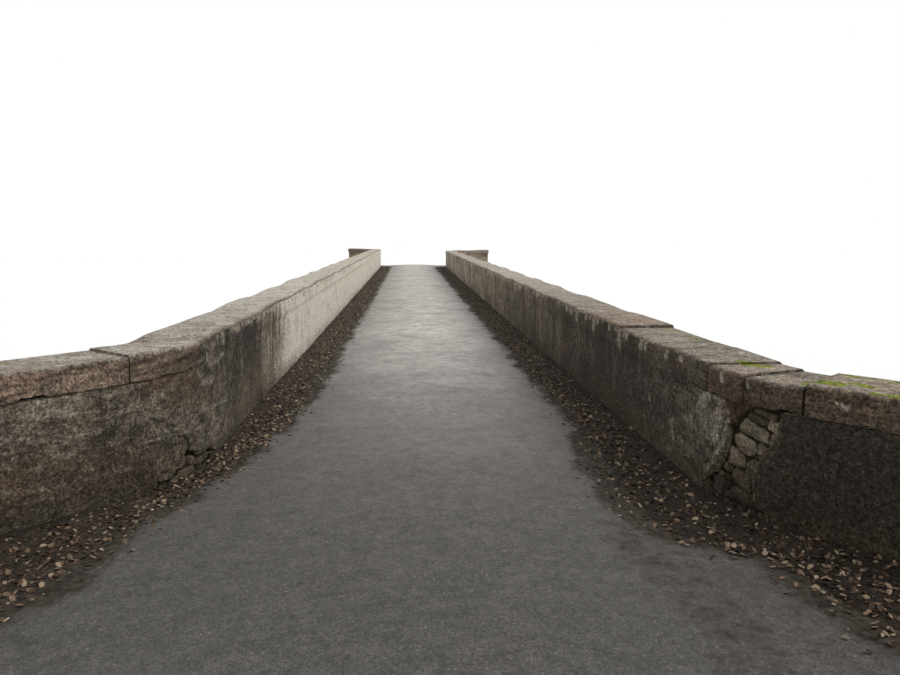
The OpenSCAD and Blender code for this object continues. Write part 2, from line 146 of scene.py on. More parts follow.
# Smooth random values
class Noise:
    """Smooth random values in space, from a seeded table of numbers"""

    SIZE = 32
    SKEW = np.array(Euler((0.5, 0.7, 0.3)).to_matrix())
    SHIFT = 17.3
    SWING = 1.6

    def __init__(self, seed):
        self.table = np.random.default_rng(seed).random((self.SIZE,) * 3) * 2 - 1

    def smooth(self, points, cell):
        """Values from -1 to 1, changing over about one cell"""
        spots = np.asarray(points) @ self.SKEW / cell
        low = np.floor(spots).astype(int)
        part = spots - low
        part = part * part * (3 - 2 * part)
        total = 0
        for corner in np.ndindex(2, 2, 2):
            weight = 1
            index = []
            for axis in range(3):
                share = part[..., axis]
                weight = weight * (share if corner[axis] else 1 - share)
                index.append((low[..., axis] + corner[axis]) % self.SIZE)
            total = total + weight * self.table[tuple(index)]
        return total

    def rough(self, points, cell, octaves=4, gain=0.55):
        """Sum of ever finer smooth values, from about -1 to 1"""
        total, weight, weights = 0, 1.0, 0.0
        for octave in range(octaves):
            spots = np.asarray(points) + octave * self.SHIFT
            total = total + weight * self.smooth(spots, cell / 2 ** octave)
            weights += weight
            weight *= gain
        return total / weights * self.SWING


NOISE = Noise(SEED)
OTHER_NOISE = Noise(SEED + 1)


def draws(kind, offset=0):
    """Random numbers of one kind of piece"""
    return np.random.default_rng(SEED + DRAWS[kind] + offset)


def step(value, low, high):
    """0 below low, 1 above high, smooth between"""
    share = np.clip((np.asarray(value, float) - low) / (high - low), 0, 1)
    return share * share * (3 - 2 * share)


def bell(value, middle, width):
    """1 at the middle, fading to 0 at a width to either side"""
    return 1 - step(np.abs(np.asarray(value, float) - middle), 0, width)


def graded(start, end, finest, coarsest, growth):
    """Stations along the road, further apart the further they are from the camera"""
    stations = [start]
    while stations[-1] < end:
        gap = abs(stations[-1] - CAMERA_AT[1]) * growth
        stations.append(stations[-1] + min(max(gap, finest), coarsest))
    stations = np.array(stations)
    return start + (stations - start) * (end - start) / (stations[-1] - start)


# The line of a parapet
class WallLine:
    """Rendered face of one parapet, measured along the wall from mid-span to the far end"""

    def __init__(self, side):
        self.side = side
        low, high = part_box("parapet_" + SIDE_NAMES[side])
        self.straight = {NEAR: low.y, FAR: high.y}
        reach = (SPLAY_RADIUS + COPING_LIP) * math.sin(SPLAY_ANGLE)
        arc = SPLAY_RADIUS * SPLAY_ANGLE
        self.tail = {
            end: (END_Y - abs(self.straight[end]) - reach) / math.cos(SPLAY_ANGLE) for end in (NEAR, FAR)
        }
        self.ends = {end: self.straight[end] + end * (arc + self.tail[end]) for end in (NEAR, FAR)}

    def place(self, along, back, height):
        """Points at a distance along the face, behind it and above the feet"""
        along, back, height = np.broadcast_arrays(
            np.asarray(along, float), np.asarray(back, float), np.asarray(height, float)
        )
        end = np.where(along < self.straight[NEAR], NEAR, FAR)
        start = np.where(end == NEAR, self.straight[NEAR], self.straight[FAR])
        past = np.maximum((along - start) * end, 0)
        turn = np.minimum(past / SPLAY_RADIUS, SPLAY_ANGLE)
        tail = past - turn * SPLAY_RADIUS
        x = FACE_X + SPLAY_RADIUS * (1 - np.cos(turn)) + tail * np.sin(turn) + back * np.cos(turn)
        out = SPLAY_RADIUS * np.sin(turn) + tail * np.cos(turn) - back * np.sin(turn)
        y = np.where(past > 0, start + end * out, along)
        return np.stack([self.side * x, y, height], -1)

    def from_near(self, along):
        """Distance from the start of the near splay, negative along that splay"""
        return np.asarray(along, float) - self.straight[NEAR]

    def sunk(self, along):
        """How far the top of the wall has settled at its near end"""
        if self.side == LEFT:
            return np.zeros(np.shape(along))
        return SETTLED * step(-self.from_near(along), *SETTLED_BETWEEN)

    def slabs(self):
        """Start, end and thickness of every coping slab, from the near end to the far end"""
        half = SLAB_JOINT / 2
        near, far = self.straight[NEAR], self.straight[FAR]
        starts = slab_starts(far - near, FIRST_SLAB[self.side])
        rows = [
            (near + low + half, near + high - half, slab_depth(i))
            for i, (low, high) in enumerate(zip(starts[:-1], starts[1:]))
        ]
        arc = SPLAY_RADIUS * SPLAY_ANGLE / SPLAY_SLABS
        for end in (NEAR, FAR):
            spans = [
                (i * arc + half, (i + 1) * arc - half, slab_depth(i + self.side)) for i in range(SPLAY_SLABS)
            ]
            bend = SPLAY_SLABS * arc
            starts = slab_starts(self.tail[end], FIRST_SLAB_PAST_BEND)
            for i, (low, high) in enumerate(zip(starts[:-1], starts[1:])):
                stop = high - (half if i < len(starts) - 2 else 0)
                spans.append((bend + low + half, bend + stop, slab_depth(i + 3 * self.side)))
            for low, high, depth in spans:
                rows.append((*sorted(self.straight[end] + end * s for s in (low, high)), depth))
        return sorted(rows)


def slab_starts(run, first):
    """Starts of the coping slabs on a run, with the end of the run as the last value"""
    starts, i = [0.0], first
    while True:
        following = starts[-1] + SLAB_LENGTH * SLAB_RHYTHM[i % len(SLAB_RHYTHM)]
        i += 1
        if following >= run - SLAB_LENGTH / 3:
            return starts + [run]
        starts.append(following)


def slab_depth(i):
    """Thickness of one slab of a row"""
    return COPING_THICKNESS + SLAB_VARIATION * math.sin(math.radians(137 * i + 40))


LINES = {side: WallLine(side) for side in (LEFT, RIGHT)}


# Meshes
def piece(name, points, faces, look, values=None, replaces=(), crease=50):
    """A mesh object that belongs to the bridge"""
    mesh = bpy.data.meshes.new(name)
    points = np.array(points, float)
    points[:, 1] = np.clip(points[:, 1], -END_Y, END_Y)
    mesh.from_pydata(points.tolist(), [], [list(map(int, face)) for face in faces])
    mesh.validate()
    for key, numbers in (values or {}).items():
        layer = mesh.attributes.new(key, "FLOAT", "POINT")
        layer.data.foreach_set("value", np.asarray(numbers, np.float32).ravel())
    mesh.polygons.foreach_set("use_smooth", np.ones(len(mesh.polygons), bool))
    mesh.set_sharp_from_angle(angle=math.radians(crease))
    mesh.update()
    mesh.materials.append(look)
    thing = bpy.data.objects.new(name, mesh)
    bpy.context.scene.collection.objects.link(thing)
    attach(thing, "root")
    if replaces:
        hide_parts(*replaces)
    return thing


def grid_faces(rows, columns, first=0, flip=False):
    """Four-sided faces of a grid whose points run along the columns first"""
    corner = (np.arange(rows - 1)[:, None] * columns + np.arange(columns - 1)[None, :]).reshape(-1) + first
    faces = np.stack([corner, corner + columns, corner + columns + 1, corner + 1], -1)
    return faces[:, ::-1] if flip else faces


def border_edges(faces):
    """Directed edges that only one face has"""
    edges = dict.fromkeys((int(a), int(b)) for face in faces for a, b in zip(face, np.roll(face, -1)))
    return [edge for edge in edges if (edge[1], edge[0]) not in edges]


def with_rim(points, faces, moved):
    """Adds a rim from every border edge to the same points moved elsewhere"""
    edges = border_edges(faces)
    used = sorted({i for edge in edges for i in edge})
    number = {old: len(points) + k for k, old in enumerate(used)}
    rim = [(b, a, number[a], number[b]) for a, b in edges]
    return np.concatenate([points, moved[used]]), [tuple(f) for f in faces] + rim, used


def with_underside(top, rows, columns, moved=None, flip=False):
    """A grid with a rim down to the formation or to the points given, and faces between its long edges"""
    if moved is None:
        moved = top * (1, 1, 0) + (0, 0, FORMATION_Z)
    points, faces, used = with_rim(top, grid_faces(rows, columns, flip=flip), moved)
    number = {old: len(top) + k for k, old in enumerate(used)}
    for start in range(0, (rows - 1) * columns, columns):
        corners = (start, start + columns - 1, start + 2 * columns - 1, start + columns)
        quad = tuple(number[corner] for corner in corners)
        faces.append(quad[::-1] if flip else quad)
    return points, faces, used


def turned(spots, angles):
    """Both coordinates of flat shapes turned about their origin, by one angle for each shape"""
    cosine, sine = np.cos(angles)[:, None], np.sin(angles)[:, None]
    x, y = spots[..., 0], spots[..., 1]
    return x * cosine - y * sine, x * sine + y * cosine


def frame_round(hole, side):
    """Lowest and highest corner of a rectangle round a hole, inside the wall"""
    low, high = hole.min(0) - HOLE_FRAME, hole.max(0) + HOLE_FRAME
    low[1], high[1] = max(low[1], MARGIN_Z - COAT_FOOT), min(high[1], WALL_TOP[side])
    return low, high


def to_outline(spots, outline):
    """Distance of each spot from a closed outline, negative inside it, and the nearest point on it"""
    outline = np.asarray(outline, float)
    best = np.full(len(spots), np.inf)
    nearest = np.zeros_like(spots)
    inside = np.zeros(len(spots), bool)
    for a, b in zip(outline, np.roll(outline, -1, 0)):
        edge = b - a
        share = np.clip(((spots - a) @ edge) / max(edge @ edge, 1e-12), 0, 1)
        near = a + share[:, None] * edge
        distance = np.linalg.norm(spots - near, axis=1)
        closer = distance < best
        best = np.where(closer, distance, best)
        nearest[closer] = near[closer]
        crosses = (a[1] > spots[:, 1]) != (b[1] > spots[:, 1])
        slope = edge[0] / edge[1] if edge[1] else 0
        inside ^= crosses & (spots[:, 0] < a[0] + (spots[:, 1] - a[1]) * slope)
    return np.where(inside, -best, best), nearest


def jagged(outline, size, pitch, swing, rng):
    """Outline at its real size with its edges broken up"""
    corners = np.asarray(outline, float) * size
    points = []
    for a, b in zip(corners, np.roll(corners, -1, 0)):
        count = max(int(np.linalg.norm(b - a) / pitch), 1)
        for i in range(count):
            points.append(a + (b - a) * i / count + rng.uniform(-swing, swing, 2))
    return np.array(points)


# Materials
def seen(red, green, blue):
    """Linear colour from the usual 0 to 255 values"""
    shares = [value / 255 for value in (red, green, blue)]
    return tuple(s / 12.92 if s <= 0.04045 else ((s + 0.055) / 1.055) ** 2.4 for s in shares)


class Look:
    """One procedural material, built in the object's own coordinates"""

    COLOUR_A, COLOUR_B, COLOUR_RESULT = 6, 7, 2

    def __init__(self, name, roughness=0.94):
        self.material = bpy.data.materials.new(name)
        self.material.use_nodes = True
        self.nodes = self.material.node_tree.nodes
        self.links = self.material.node_tree.links
        self.nodes.clear()
        self.shader = self.nodes.new("ShaderNodeBsdfPrincipled")
        self.shader.inputs["Roughness"].default_value = roughness
        self.shader.inputs["Specular IOR Level"].default_value = 0.2
        output = self.nodes.new("ShaderNodeOutputMaterial")
        self.links.new(self.shader.outputs["BSDF"], output.inputs["Surface"])
        self.place = self.nodes.new("ShaderNodeTexCoord").outputs["Object"]
        self.relief = self.colour = None

    def put(self, socket, value):
        """Links a socket, or sets a number on it, or a colour from its usual 0 to 255 values"""
        if isinstance(value, bpy.types.NodeSocket):
            self.links.new(value, socket)
        elif isinstance(value, tuple) and len(value) == 3 and socket.type == "RGBA":
            socket.default_value = (*seen(*value), 1.0)
        else:
            socket.default_value = value

    def where(self, stretch):
        """Coordinates, pulled out along some axes"""
        if stretch is None:
            return self.place
        node = self.nodes.new("ShaderNodeMapping")
        node.inputs["Scale"].default_value = stretch
        self.put(node.inputs["Vector"], self.place)
        return node.outputs["Vector"]

    def noise(self, scale, detail=3.0, roughness=0.55, stretch=None, distortion=0.0):
        node = self.nodes.new("ShaderNodeTexNoise")
        self.put(node.inputs["Vector"], self.where(stretch))
        self.put(node.inputs["Scale"], scale)
        self.put(node.inputs["Detail"], detail)
        self.put(node.inputs["Roughness"], roughness)
        self.put(node.inputs["Distortion"], distortion)
        return node.outputs["Fac"]

    def cells(self, scale, output="Distance", feature="F1", stretch=None):
        node = self.nodes.new("ShaderNodeTexVoronoi")
        node.feature = feature
        self.put(node.inputs["Vector"], self.where(stretch))
        self.put(node.inputs["Scale"], scale)
        return node.outputs[output]

    def given(self, name):
        """Values that the mesh carries at its points"""
        node = self.nodes.new("ShaderNodeAttribute")
        node.attribute_name = name
        return node.outputs["Fac"]

    def axis(self, letter):
        node = self.nodes.new("ShaderNodeSeparateXYZ")
        self.put(node.inputs["Vector"], self.place)
        return node.outputs[letter]

    def sum(self, a, b):
        return self.maths("ADD", a, b)

    def times(self, a, b):
        return self.maths("MULTIPLY", a, b)

    def maths(self, operation, a, b):
        node = self.nodes.new("ShaderNodeMath")
        node.operation = operation
        self.put(node.inputs[0], a)
        self.put(node.inputs[1], b)
        return node.outputs["Value"]

    def swing(self, value, size):
        """A value from 0 to 1 swung about nothing"""
        return self.times(self.sum(value, -0.5), size)

    def spread(self, value, low, high, to_low=0.0, to_high=1.0):
        """Values between low and high spread from to_low to to_high, and no further"""
        node = self.nodes.new("ShaderNodeMapRange")
        self.put(node.inputs["Value"], value)
        self.put(node.inputs["From Min"], low)
        self.put(node.inputs["From Max"], high)
        self.put(node.inputs["To Min"], to_low)
        self.put(node.inputs["To Max"], to_high)
        return node.outputs["Result"]

    def blend(self, share, a, b, way="MIX"):
        node = self.nodes.new("ShaderNodeMix")
        node.data_type = "RGBA"
        node.blend_type = way
        self.put(node.inputs["Factor"], share)
        self.put(node.inputs[self.COLOUR_A], a)
        self.put(node.inputs[self.COLOUR_B], b)
        return node.outputs[self.COLOUR_RESULT]

    def over(self, share, colour):
        """Lays a colour over the colours before it"""
        self.colour = self.blend(share, self.colour, colour)

    def bands(self, value, stops):
        """Colours along a value from 0 to 1"""
        node = self.nodes.new("ShaderNodeValToRGB")
        self.put(node.inputs["Fac"], value)
        ramp = node.color_ramp
        while len(ramp.elements) < len(stops):
            ramp.elements.new(0.5)
        for element, (position, colour) in zip(ramp.elements, stops):
            element.position = position
            element.color = (*seen(*colour), 1.0)
        return node.outputs["Color"]

    def two(self, value, dark, pale):
        """A dark and a pale colour, blended in the middle of a value"""
        return self.bands(value, ((0.35, dark), (0.65, pale)))

    def grained(self, scale, strength):
        """Lays fine light and dark grain over the colours"""
        grain = self.noise(scale, 4.0, 0.85)
        grain = self.spread(grain, 0.34, 0.66, 0.5 - strength / 2, 0.5 + strength / 2)
        self.colour = self.blend(1.0, self.colour, grain, "OVERLAY")

    def bump(self, height, distance, strength=1.0):
        node = self.nodes.new("ShaderNodeBump")
        self.put(node.inputs["Height"], height)
        self.put(node.inputs["Distance"], distance)
        self.put(node.inputs["Strength"], strength)
        if self.relief is not None:
            self.put(node.inputs["Normal"], self.relief)
        self.relief = node.outputs["Normal"]

    def done(self):
        self.put(self.shader.inputs["Base Color"], self.colour)
        if self.relief is not None:
            self.put(self.shader.inputs["Normal"], self.relief)
        return self.material


def render_look():
    """Old lime render: soot, runs and algae over pale lime, with grains that show; the soot also carries
    painted shade and painted sunlight, and the damp algae painted shade
    """
    look = Look("old_lime_render")
    broad = look.noise(1.1, 5.0, 0.62)
    mottle = look.noise(7.5, 6.0, 0.68)
    grain = look.noise(44.0, 4.0, 0.75)
    # Darkening share: soot with its painted shade and painted sunlight, runs and mottling, from pale lime to
    # dark
    darkening = look.sum(look.given("grime_and_painted_light"), look.given("runs"))
    trowel = look.noise(1.0, 5.0, 0.65, stretch=(4.0, 4.0, 15.0), distortion=0.8)
    darkening = look.sum(darkening, look.swing(broad, 0.8))
    darkening = look.sum(darkening, look.swing(mottle, 0.70))
    darkening = look.sum(darkening, look.swing(trowel, look.times(look.given("trowelled"), 1.3)))
    darkening = look.sum(darkening, look.swing(grain, 1.10))
    darkening = look.sum(darkening, look.swing(look.noise(150.0, 3.0, 0.7), 0.9))
    look.colour = look.bands(darkening, (
        (0.00, (226, 217, 202)), (0.22, (192, 182, 166)), (0.48, (138, 128, 113)),
        (0.75, (92, 84, 73)), (1.0, (56, 51, 44)),
    ))
    brown = look.sum(look.given("brown"), look.spread(look.noise(2.4, 4.0, 0.6), 0.54, 0.72, 0.0, 0.45))
    brown = look.times(brown, look.spread(trowel, 0.38, 0.58, 0.35, 1.0))
    brown = look.times(brown, look.spread(darkening, 0.85, 1.20, 1.0, 0.35))
    look.over(brown, (98, 78, 61))
    curls = look.noise(19.0, 5.0, 0.70, distortion=1.2)
    pale = look.sum(look.given("pale"), look.swing(curls, 2.2))
    pale = look.sum(pale, look.swing(grain, 1.4))
    look.over(look.spread(pale, 0.34, 0.80, 0.0, 0.72), (168, 159, 142))
    # Dark damp growth near the foot, partly painted shade
    damp_and_painted_shade = look.times(look.given("damp_and_painted_shade"), look.spread(broad, 0.36, 0.60, 0.3, 1.0))
    look.over(damp_and_painted_shade, look.two(mottle, (48, 42, 33), (80, 71, 56)))
    marks = look.noise(1.0, 4.0, 0.7, stretch=(48.0, 48.0, 17.0), distortion=1.0)
    marks = look.times(look.spread(marks, 0.63, 0.69, 0.0, 0.55), look.given("marks"))
    look.over(marks, (164, 157, 142))
    grains = look.cells(105.0, output="Color")
    grit = look.times(look.spread(grains, 0.86, 0.90, 0.0, 0.34), look.spread(darkening, 0.9, 1.3, 1.0, 0.3))
    look.over(grit, (146, 137, 121))
    look.over(look.spread(grains, 0.08, 0.14, 0.45, 0.0), (32, 29, 24))
    holes = look.spread(look.cells(15.0), 0.03, 0.09, 0.8, 0.0)
    holes = look.times(holes, look.spread(look.noise(5.0, 2.0), 0.48, 0.54))
    look.over(holes, (30, 27, 22))
    look.over(look.given("broken"), look.two(mottle, (84, 72, 57), (150, 138, 118)))
    look.bump(look.noise(150.0, 4.0, 0.75), 0.005)
    look.bump(look.noise(26.0, 6.0, 0.70), 0.014)
    look.grained(60.0, 0.90)
    look.grained(26.0, 0.60)
    return look.done()


def coping_look():
    """Weathered slabs: grey and brown stone, with lichen, moss and faces darkened as painted shade"""
    look = Look("weathered_coping")
    look.colour = look.bands(look.given("tone"), (
        (0.0, (122, 114, 102)), (0.3, (136, 128, 115)), (0.6, (113, 105, 93)),
        (0.8, (138, 119, 102)), (1.0, (152, 128, 108)),
    ))
    mottle = look.noise(6.5, 6.0, 0.70)
    layers = look.noise(1.0, 5.0, 0.7, stretch=(3.0, 3.0, 42.0), distortion=0.4)
    look.over(look.spread(layers, 0.46, 0.60, 0.0, 0.6), (74, 63, 53))
    look.over(look.spread(layers, 0.38, 0.47, 0.45, 0.0), (172, 150, 130))
    look.over(look.spread(look.given("layer"), 0.12, 0.50, 0.0, 0.80), (66, 53, 44))
    look.over(look.spread(look.given("layer"), -0.50, -0.08, 0.7, 0.0), (172, 150, 130))
    look.over(look.times(look.given("top"), 0.7), (150, 143, 131))
    look.over(look.spread(mottle, 0.46, 0.64, 0.0, 0.65), (92, 83, 71))
    grain = look.noise(52.0, 4.0, 0.75)
    look.over(look.spread(grain, 0.56, 0.72, 0.0, 0.45), (62, 56, 48))
    top = look.times(look.given("top"), look.spread(look.noise(3.4, 6.0, 0.66), 0.42, 0.60))
    look.over(look.times(top, 0.75), (170, 164, 152))
    rust = look.times(look.spread(look.noise(3.2, 4.0), 0.64, 0.72), look.spread(mottle, 0.40, 0.55))
    look.over(look.times(rust, 0.35), (132, 98, 62))
    bleach = look.times(look.given("bleach"), look.spread(look.noise(9.0, 6.0, 0.70), 0.36, 0.58, 0.95, 0.45))
    look.over(bleach, (208, 200, 186))
    # Painted shade on the slabs' faces, deepest at the near right
    dark = look.times(look.given("dark"), look.spread(mottle, 0.30, 0.62, 1.0, 0.55))
    look.over(dark, (48, 42, 34))
    moss = look.sum(look.given("moss"), look.swing(look.noise(11.0, 6.0, 0.72), 2.2))
    look.over(look.spread(moss, 0.45, 0.70), look.two(look.noise(70.0, 3.0), (78, 86, 22), (140, 150, 40)))
    lichen = look.sum(look.given("lichen"), look.swing(grain, 1.5))
    look.over(look.spread(lichen, 0.36, 0.62, 0.0, 0.8), (178, 174, 160))
    soot = look.times(look.given("edge"), look.spread(look.noise(20.0, 4.0), 0.30, 0.60))
    look.over(look.times(soot, 0.7), (46, 40, 33))
    look.bump(look.noise(90.0, 4.0, 0.75), 0.006)
    look.bump(look.noise(17.0, 5.0, 0.7), 0.012)
    look.bump(layers, 0.006, 0.5)
    look.grained(60.0, 0.92)
    look.grained(24.0, 0.60)
    return look.done()


def stone_look(name, warm, cool, dark, pale, grain=70.0, stained=1.0):
    """Stones of one wall, each with its own tone"""
    look = Look(name)
    look.colour = look.bands(look.given("tone"), ((0.0, dark), (0.35, warm), (0.7, cool), (1.0, pale)))
    look.over(look.spread(look.noise(8.0, 6.0, 0.68), 0.42, 0.68, 0.0, 0.7 * stained), dark)
    stain = look.noise(1.0, 4.0, 0.6, stretch=(2.2, 2.2, 0.5))
    look.over(look.spread(stain, 0.50, 0.72, 0.0, 0.65 * stained), (62, 57, 46))
    look.over(look.spread(look.noise(16.0, 4.0, 0.75), 0.62, 0.68, 0.0, 0.55 * stained), (176, 172, 156))
    low = look.spread(look.axis("Z"), 0.1, 1.3, 0.7, 0.0)
    low = look.times(low, look.spread(look.noise(3.0, 5.0, 0.6), 0.35, 0.62))
    look.over(low, (58, 60, 40))
    look.over(look.spread(look.noise(58.0, 4.0, 0.75), 0.56, 0.72, 0.0, 0.45), dark)
    look.bump(look.noise(grain, 4.0, 0.7), 0.006)
    look.bump(look.noise(14.0, 4.0, 0.6), 0.015, 0.7)
    look.grained(60.0, 0.75)
    look.grained(22.0, 0.50)
    return look.done()


def mortar_look():
    """Lime mortar between the stones, and the flat faces behind them"""
    look = Look("lime_mortar")
    look.colour = look.bands(look.noise(7.0, 6.0, 0.65), (
        (0.30, (74, 66, 55)), (0.50, (120, 110, 94)), (0.72, (150, 141, 124)),
    ))
    look.over(look.spread(look.axis("Z"), 0.1, 1.3, 0.6, 0.0), (60, 60, 42))
    look.bump(look.noise(60.0, 4.0, 0.7), 0.008)
    look.grained(60.0, 0.60)
    return look.done()


def recess_look(name, under_dark, under_pale):
    """Deep back between the bared stones, painted dark as shade, and the coat under the render"""
    look = Look(name)
    mottle = look.noise(16.0, 6.0, 0.70)
    grain = look.noise(60.0, 4.0, 0.75)
    # Painted shade deep between the stones
    deep = look.two(mottle, (30, 26, 21), (58, 51, 41))
    mixed = look.sum(look.times(mottle, 0.5), look.times(grain, 0.5))
    under = look.bands(mixed, ((0.40, under_dark), (0.60, under_pale)))
    look.bump(look.noise(70.0, 5.0, 0.7), 0.012)
    look.colour = look.blend(look.given("under"), deep, under)
    look.grained(36.0, 0.90)
    return look.done()


def tarmac_look():
    """Worn tarmac: chippings, paler wheel tracks, a paler far road that is painted sunlight as well as wear,
    and dirt along the edges
    """
    look = Look("worn_tarmac", 0.88)
    stones = look.cells(120.0, output="Color")
    look.colour = look.bands(stones, (
        (0.0, (69, 67, 65)), (0.45, (87, 85, 82)), (0.85, (98, 95, 92)), (1.0, (130, 125, 119)),
    ))
    look.over(look.spread(look.cells(120.0), 0.35, 0.75, 0.0, 0.35), (66, 64, 62))
    # Pale wear, which also paints sunlight on the far road
    worn = look.times(look.given("worn"), look.spread(look.noise(1.9, 6.0, 0.66), 0.34, 0.64, 0.76, 1.0))
    look.over(look.times(worn, 0.97), (206, 201, 194))
    patches = look.times(look.given("worn"), look.spread(look.noise(3.5, 5.0, 0.7), 0.46, 0.60, 0.0, 0.35))
    look.over(patches, (100, 97, 94))
    look.over(look.spread(look.noise(0.8, 6.0, 0.62), 0.47, 0.68, 0.0, 0.26), (88, 86, 84))
    look.over(look.spread(look.noise(4.5, 4.0, 0.7), 0.60, 0.72, 0.0, 0.35), (72, 70, 67))
    look.over(look.times(look.given("older"), 0.75), look.bands(stones, (
        (0.1, (66, 63, 60)), (0.9, (96, 92, 87)),
    )))
    seam = look.times(look.given("seam"), look.spread(look.noise(24.0, 4.0, 0.7), 0.40, 0.56))
    look.over(look.times(seam, 0.8), (52, 49, 46))
    darkening = look.sum(look.given("darkening"), look.swing(look.noise(8.0, 6.0, 0.72), 1.6))
    look.over(look.spread(darkening, 0.30, 0.80), look.two(look.noise(30.0, 4.0), (40, 36, 31), (72, 65, 56)))
    look.bump(look.cells(120.0), 0.004, 0.9)
    look.bump(look.noise(5.0, 4.0, 0.6), 0.010, 0.4)
    look.grained(9.0, 0.22)
    look.grained(34.0, 0.20)
    return look.done()


def earth_look(name, dark, mid, pale):
    """Loose earth, darkened where damp, which is partly painted shade"""
    look = Look(name)
    look.colour = look.bands(look.noise(9.0, 7.0, 0.72), ((0.30, dark), (0.52, mid), (0.75, pale)))
    look.over(look.spread(look.cells(75.0, output="Color"), 0.70, 0.80, 0.0, 0.6), pale)
    look.over(look.given("damp_and_painted_shade"), (38, 32, 26))
    look.bump(look.noise(70.0, 5.0, 0.75), 0.010)
    look.grained(60.0, 0.75)
    return look.done()


def litter_look():
    """Dead leaves, each with its own brown"""
    look = Look("leaf_litter", 0.8)
    look.colour = look.bands(look.given("tone"), (
        (0.0, (46, 37, 30)), (0.35, (84, 67, 53)), (0.7, (124, 104, 84)), (1.0, (166, 147, 124)),
    ))
    look.over(look.spread(look.noise(90.0, 2.0), 0.4, 0.7, 0.0, 0.4), (60, 44, 32))
    return look.done()


LOOKS = {
    "render": render_look(),
    "coping": coping_look(),
    "rubble": stone_look("rubble", (140, 124, 102), (126, 118, 104), (84, 74, 62), (162, 150, 130)),
    "bared": stone_look(
        "bared_stones", (90, 79, 65), (120, 109, 93), (46, 40, 33), (156, 145, 124), stained=0.9,
    ),
    "dressed": stone_look("dressed", (158, 140, 116), (148, 138, 121), (110, 97, 80), (176, 163, 142)),
    "mortar": mortar_look(),
    "recess_left": recess_look("undercut_back", (56, 49, 40), (118, 108, 92)),
    "recess_right": recess_look("patch_back", (52, 43, 34), (84, 71, 55)),
    "undercut": stone_look(
        "undercut_stones", (98, 88, 74), (114, 104, 89), (56, 49, 41), (134, 123, 105), stained=0.9,
    ),
    "tarmac": tarmac_look(),
    "earth": earth_look("verge_earth", (36, 30, 24), (64, 55, 46), (104, 93, 80)),
    "fill": earth_look("packed_fill", (84, 68, 52), (122, 104, 82), (156, 138, 112)),
    "litter": litter_look(),
}
CAD_LOOKS = {
    "tarmac": "tarmac", "earth": "earth", "fill": "fill", "rubble_stone": "mortar",
    "dressed_stone": "dressed", "render_coat": "render", "coping_stone": "coping",
}


# Render on the parapets
COAT_ROWS = 50
COAT_FOOT = 0.03
COAT_BACK = 0.028
COVER_BLEND = 0.12

# Broken edges of the lost render: pitch and swing of the outline, how near a point snaps to it,
# how far the render thins out beside it, how wide the bare edge shows and the room left round it
HOLE_PITCH = 0.022
HOLE_SWING = 0.007
HOLE_SNAP = 0.0075
HOLE_THINS = 0.035
HOLE_EDGE = 0.012
HOLE_FRAME = 0.02

# Undulations of the render, as heights, sizes and octaves
COAT_UNDULATIONS = (
    (NOISE, (0.0050, 1.3, 3)), (NOISE, (0.0036, 0.22, 3)), (OTHER_NOISE, (0.0022, 0.05, 2)),
)

# Where a painted stroke begins to fade and where it ends, in shares of its width
STROKE_FADES = (0.4, 1.3)

# Where the render begins to run up over the slabs' faces, from the start of the near splay
COVERED_FROM = {LEFT: -0.12, RIGHT: 0.30}

# Soot along the wall, with painted shade along the right wall, deepest at its near end, and painted sunlight
# on the far left, as distances from the start of the near splay and shares, and how much paler its foot is on
# the left
SOOT_AND_PAINTED_LIGHT = {
    LEFT: (
        (-3.0, -0.8, -0.2, 0.3, 0.6, 0.9, 2.0, 2.3, 3.3, 3.8, 6.0, 14.0, 28.0),
        (0.74, 0.74, 0.76, 0.80, 0.88, 0.96, 0.94, 0.60, 0.40, 0.04, -0.12, -0.20, -0.12),
    ),
    RIGHT: (
        (-2.5, -0.9, -0.4, 0.0, 0.5, 1.2, 3.0, 6.0, 14.0, 28.0),
        (1.42, 1.36, 0.92, 0.76, 0.88, 0.96, 0.92, 0.78, 0.52, 0.42),
    ),
}
PALER_FOOT = ((-0.6, 0.2), (-0.24, 0.16))

# Runs and drips down the render: widths, the least and the mean reach of a run, its strength,
# how far apart the drips are, where they begin and where they fade
RUN_WIDTH = (0.010, 0.040)
RUN_REACH = (0.06, 0.30)
RUN_SWING = 0.42
DRIP_WIDTH = (0.008, 0.026)
DRIP_APART = {LEFT: 0.05, RIGHT: 0.16}
FRINGE_FROM = 0.35
DRIPS_FADE = (9.0, 16.0)
RUN_STRENGTH = {
    LEFT: ((-1.0, 0.3, 0.8, 2.2, 4.0, 30.0), (0.05, 0.35, 0.9, 1.0, 0.9, 0.7)),
    RIGHT: ((-1.0, 0.0, 1.5, 4.0, 30.0), (0.0, 0.10, 0.30, 0.5, 0.6)),
}

# Strokes on the render: start and end along the wall from the near splay and up from the margin,
# then width and strength
PALE_STROKES = {
    LEFT: (
        (0.09, 0.80, 0.21, 0.715, 0.050, 0.62), (0.21, 0.715, 0.58, 0.735, 0.034, 0.58),
        (-0.06, 0.640, 0.25, 0.575, 0.034, 0.50), (-0.46, 0.435, 0.15, 0.400, 0.022, 0.42),
        (0.15, 0.400, 0.67, 0.330, 0.020, 0.48), (-0.68, 0.350, -0.27, 0.330, 0.016, 0.34),
        (0.82, 0.05, 0.82, 0.13, 0.026, 0.60), (2.45, 0.10, 2.55, 0.55, 0.07, 0.40),
    ),
    RIGHT: (
        (-0.02, 0.68, 0.06, 0.60, 0.040, 0.45), (-0.20, 0.67, -0.08, 0.70, 0.030, 0.50),
        (-0.28, 0.56, -0.22, 0.42, 0.022, 0.55), (-0.22, 0.42, -0.12, 0.24, 0.020, 0.50),
        (-0.12, 0.24, 0.00, 0.12, 0.016, 0.40), (-0.16, 0.58, -0.12, 0.40, 0.050, 0.45),
        (0.60, 0.22, 0.60, 0.34, 0.030, 0.42), (1.10, 0.33, 1.14, 0.40, 0.025, 0.42),
    ),
}
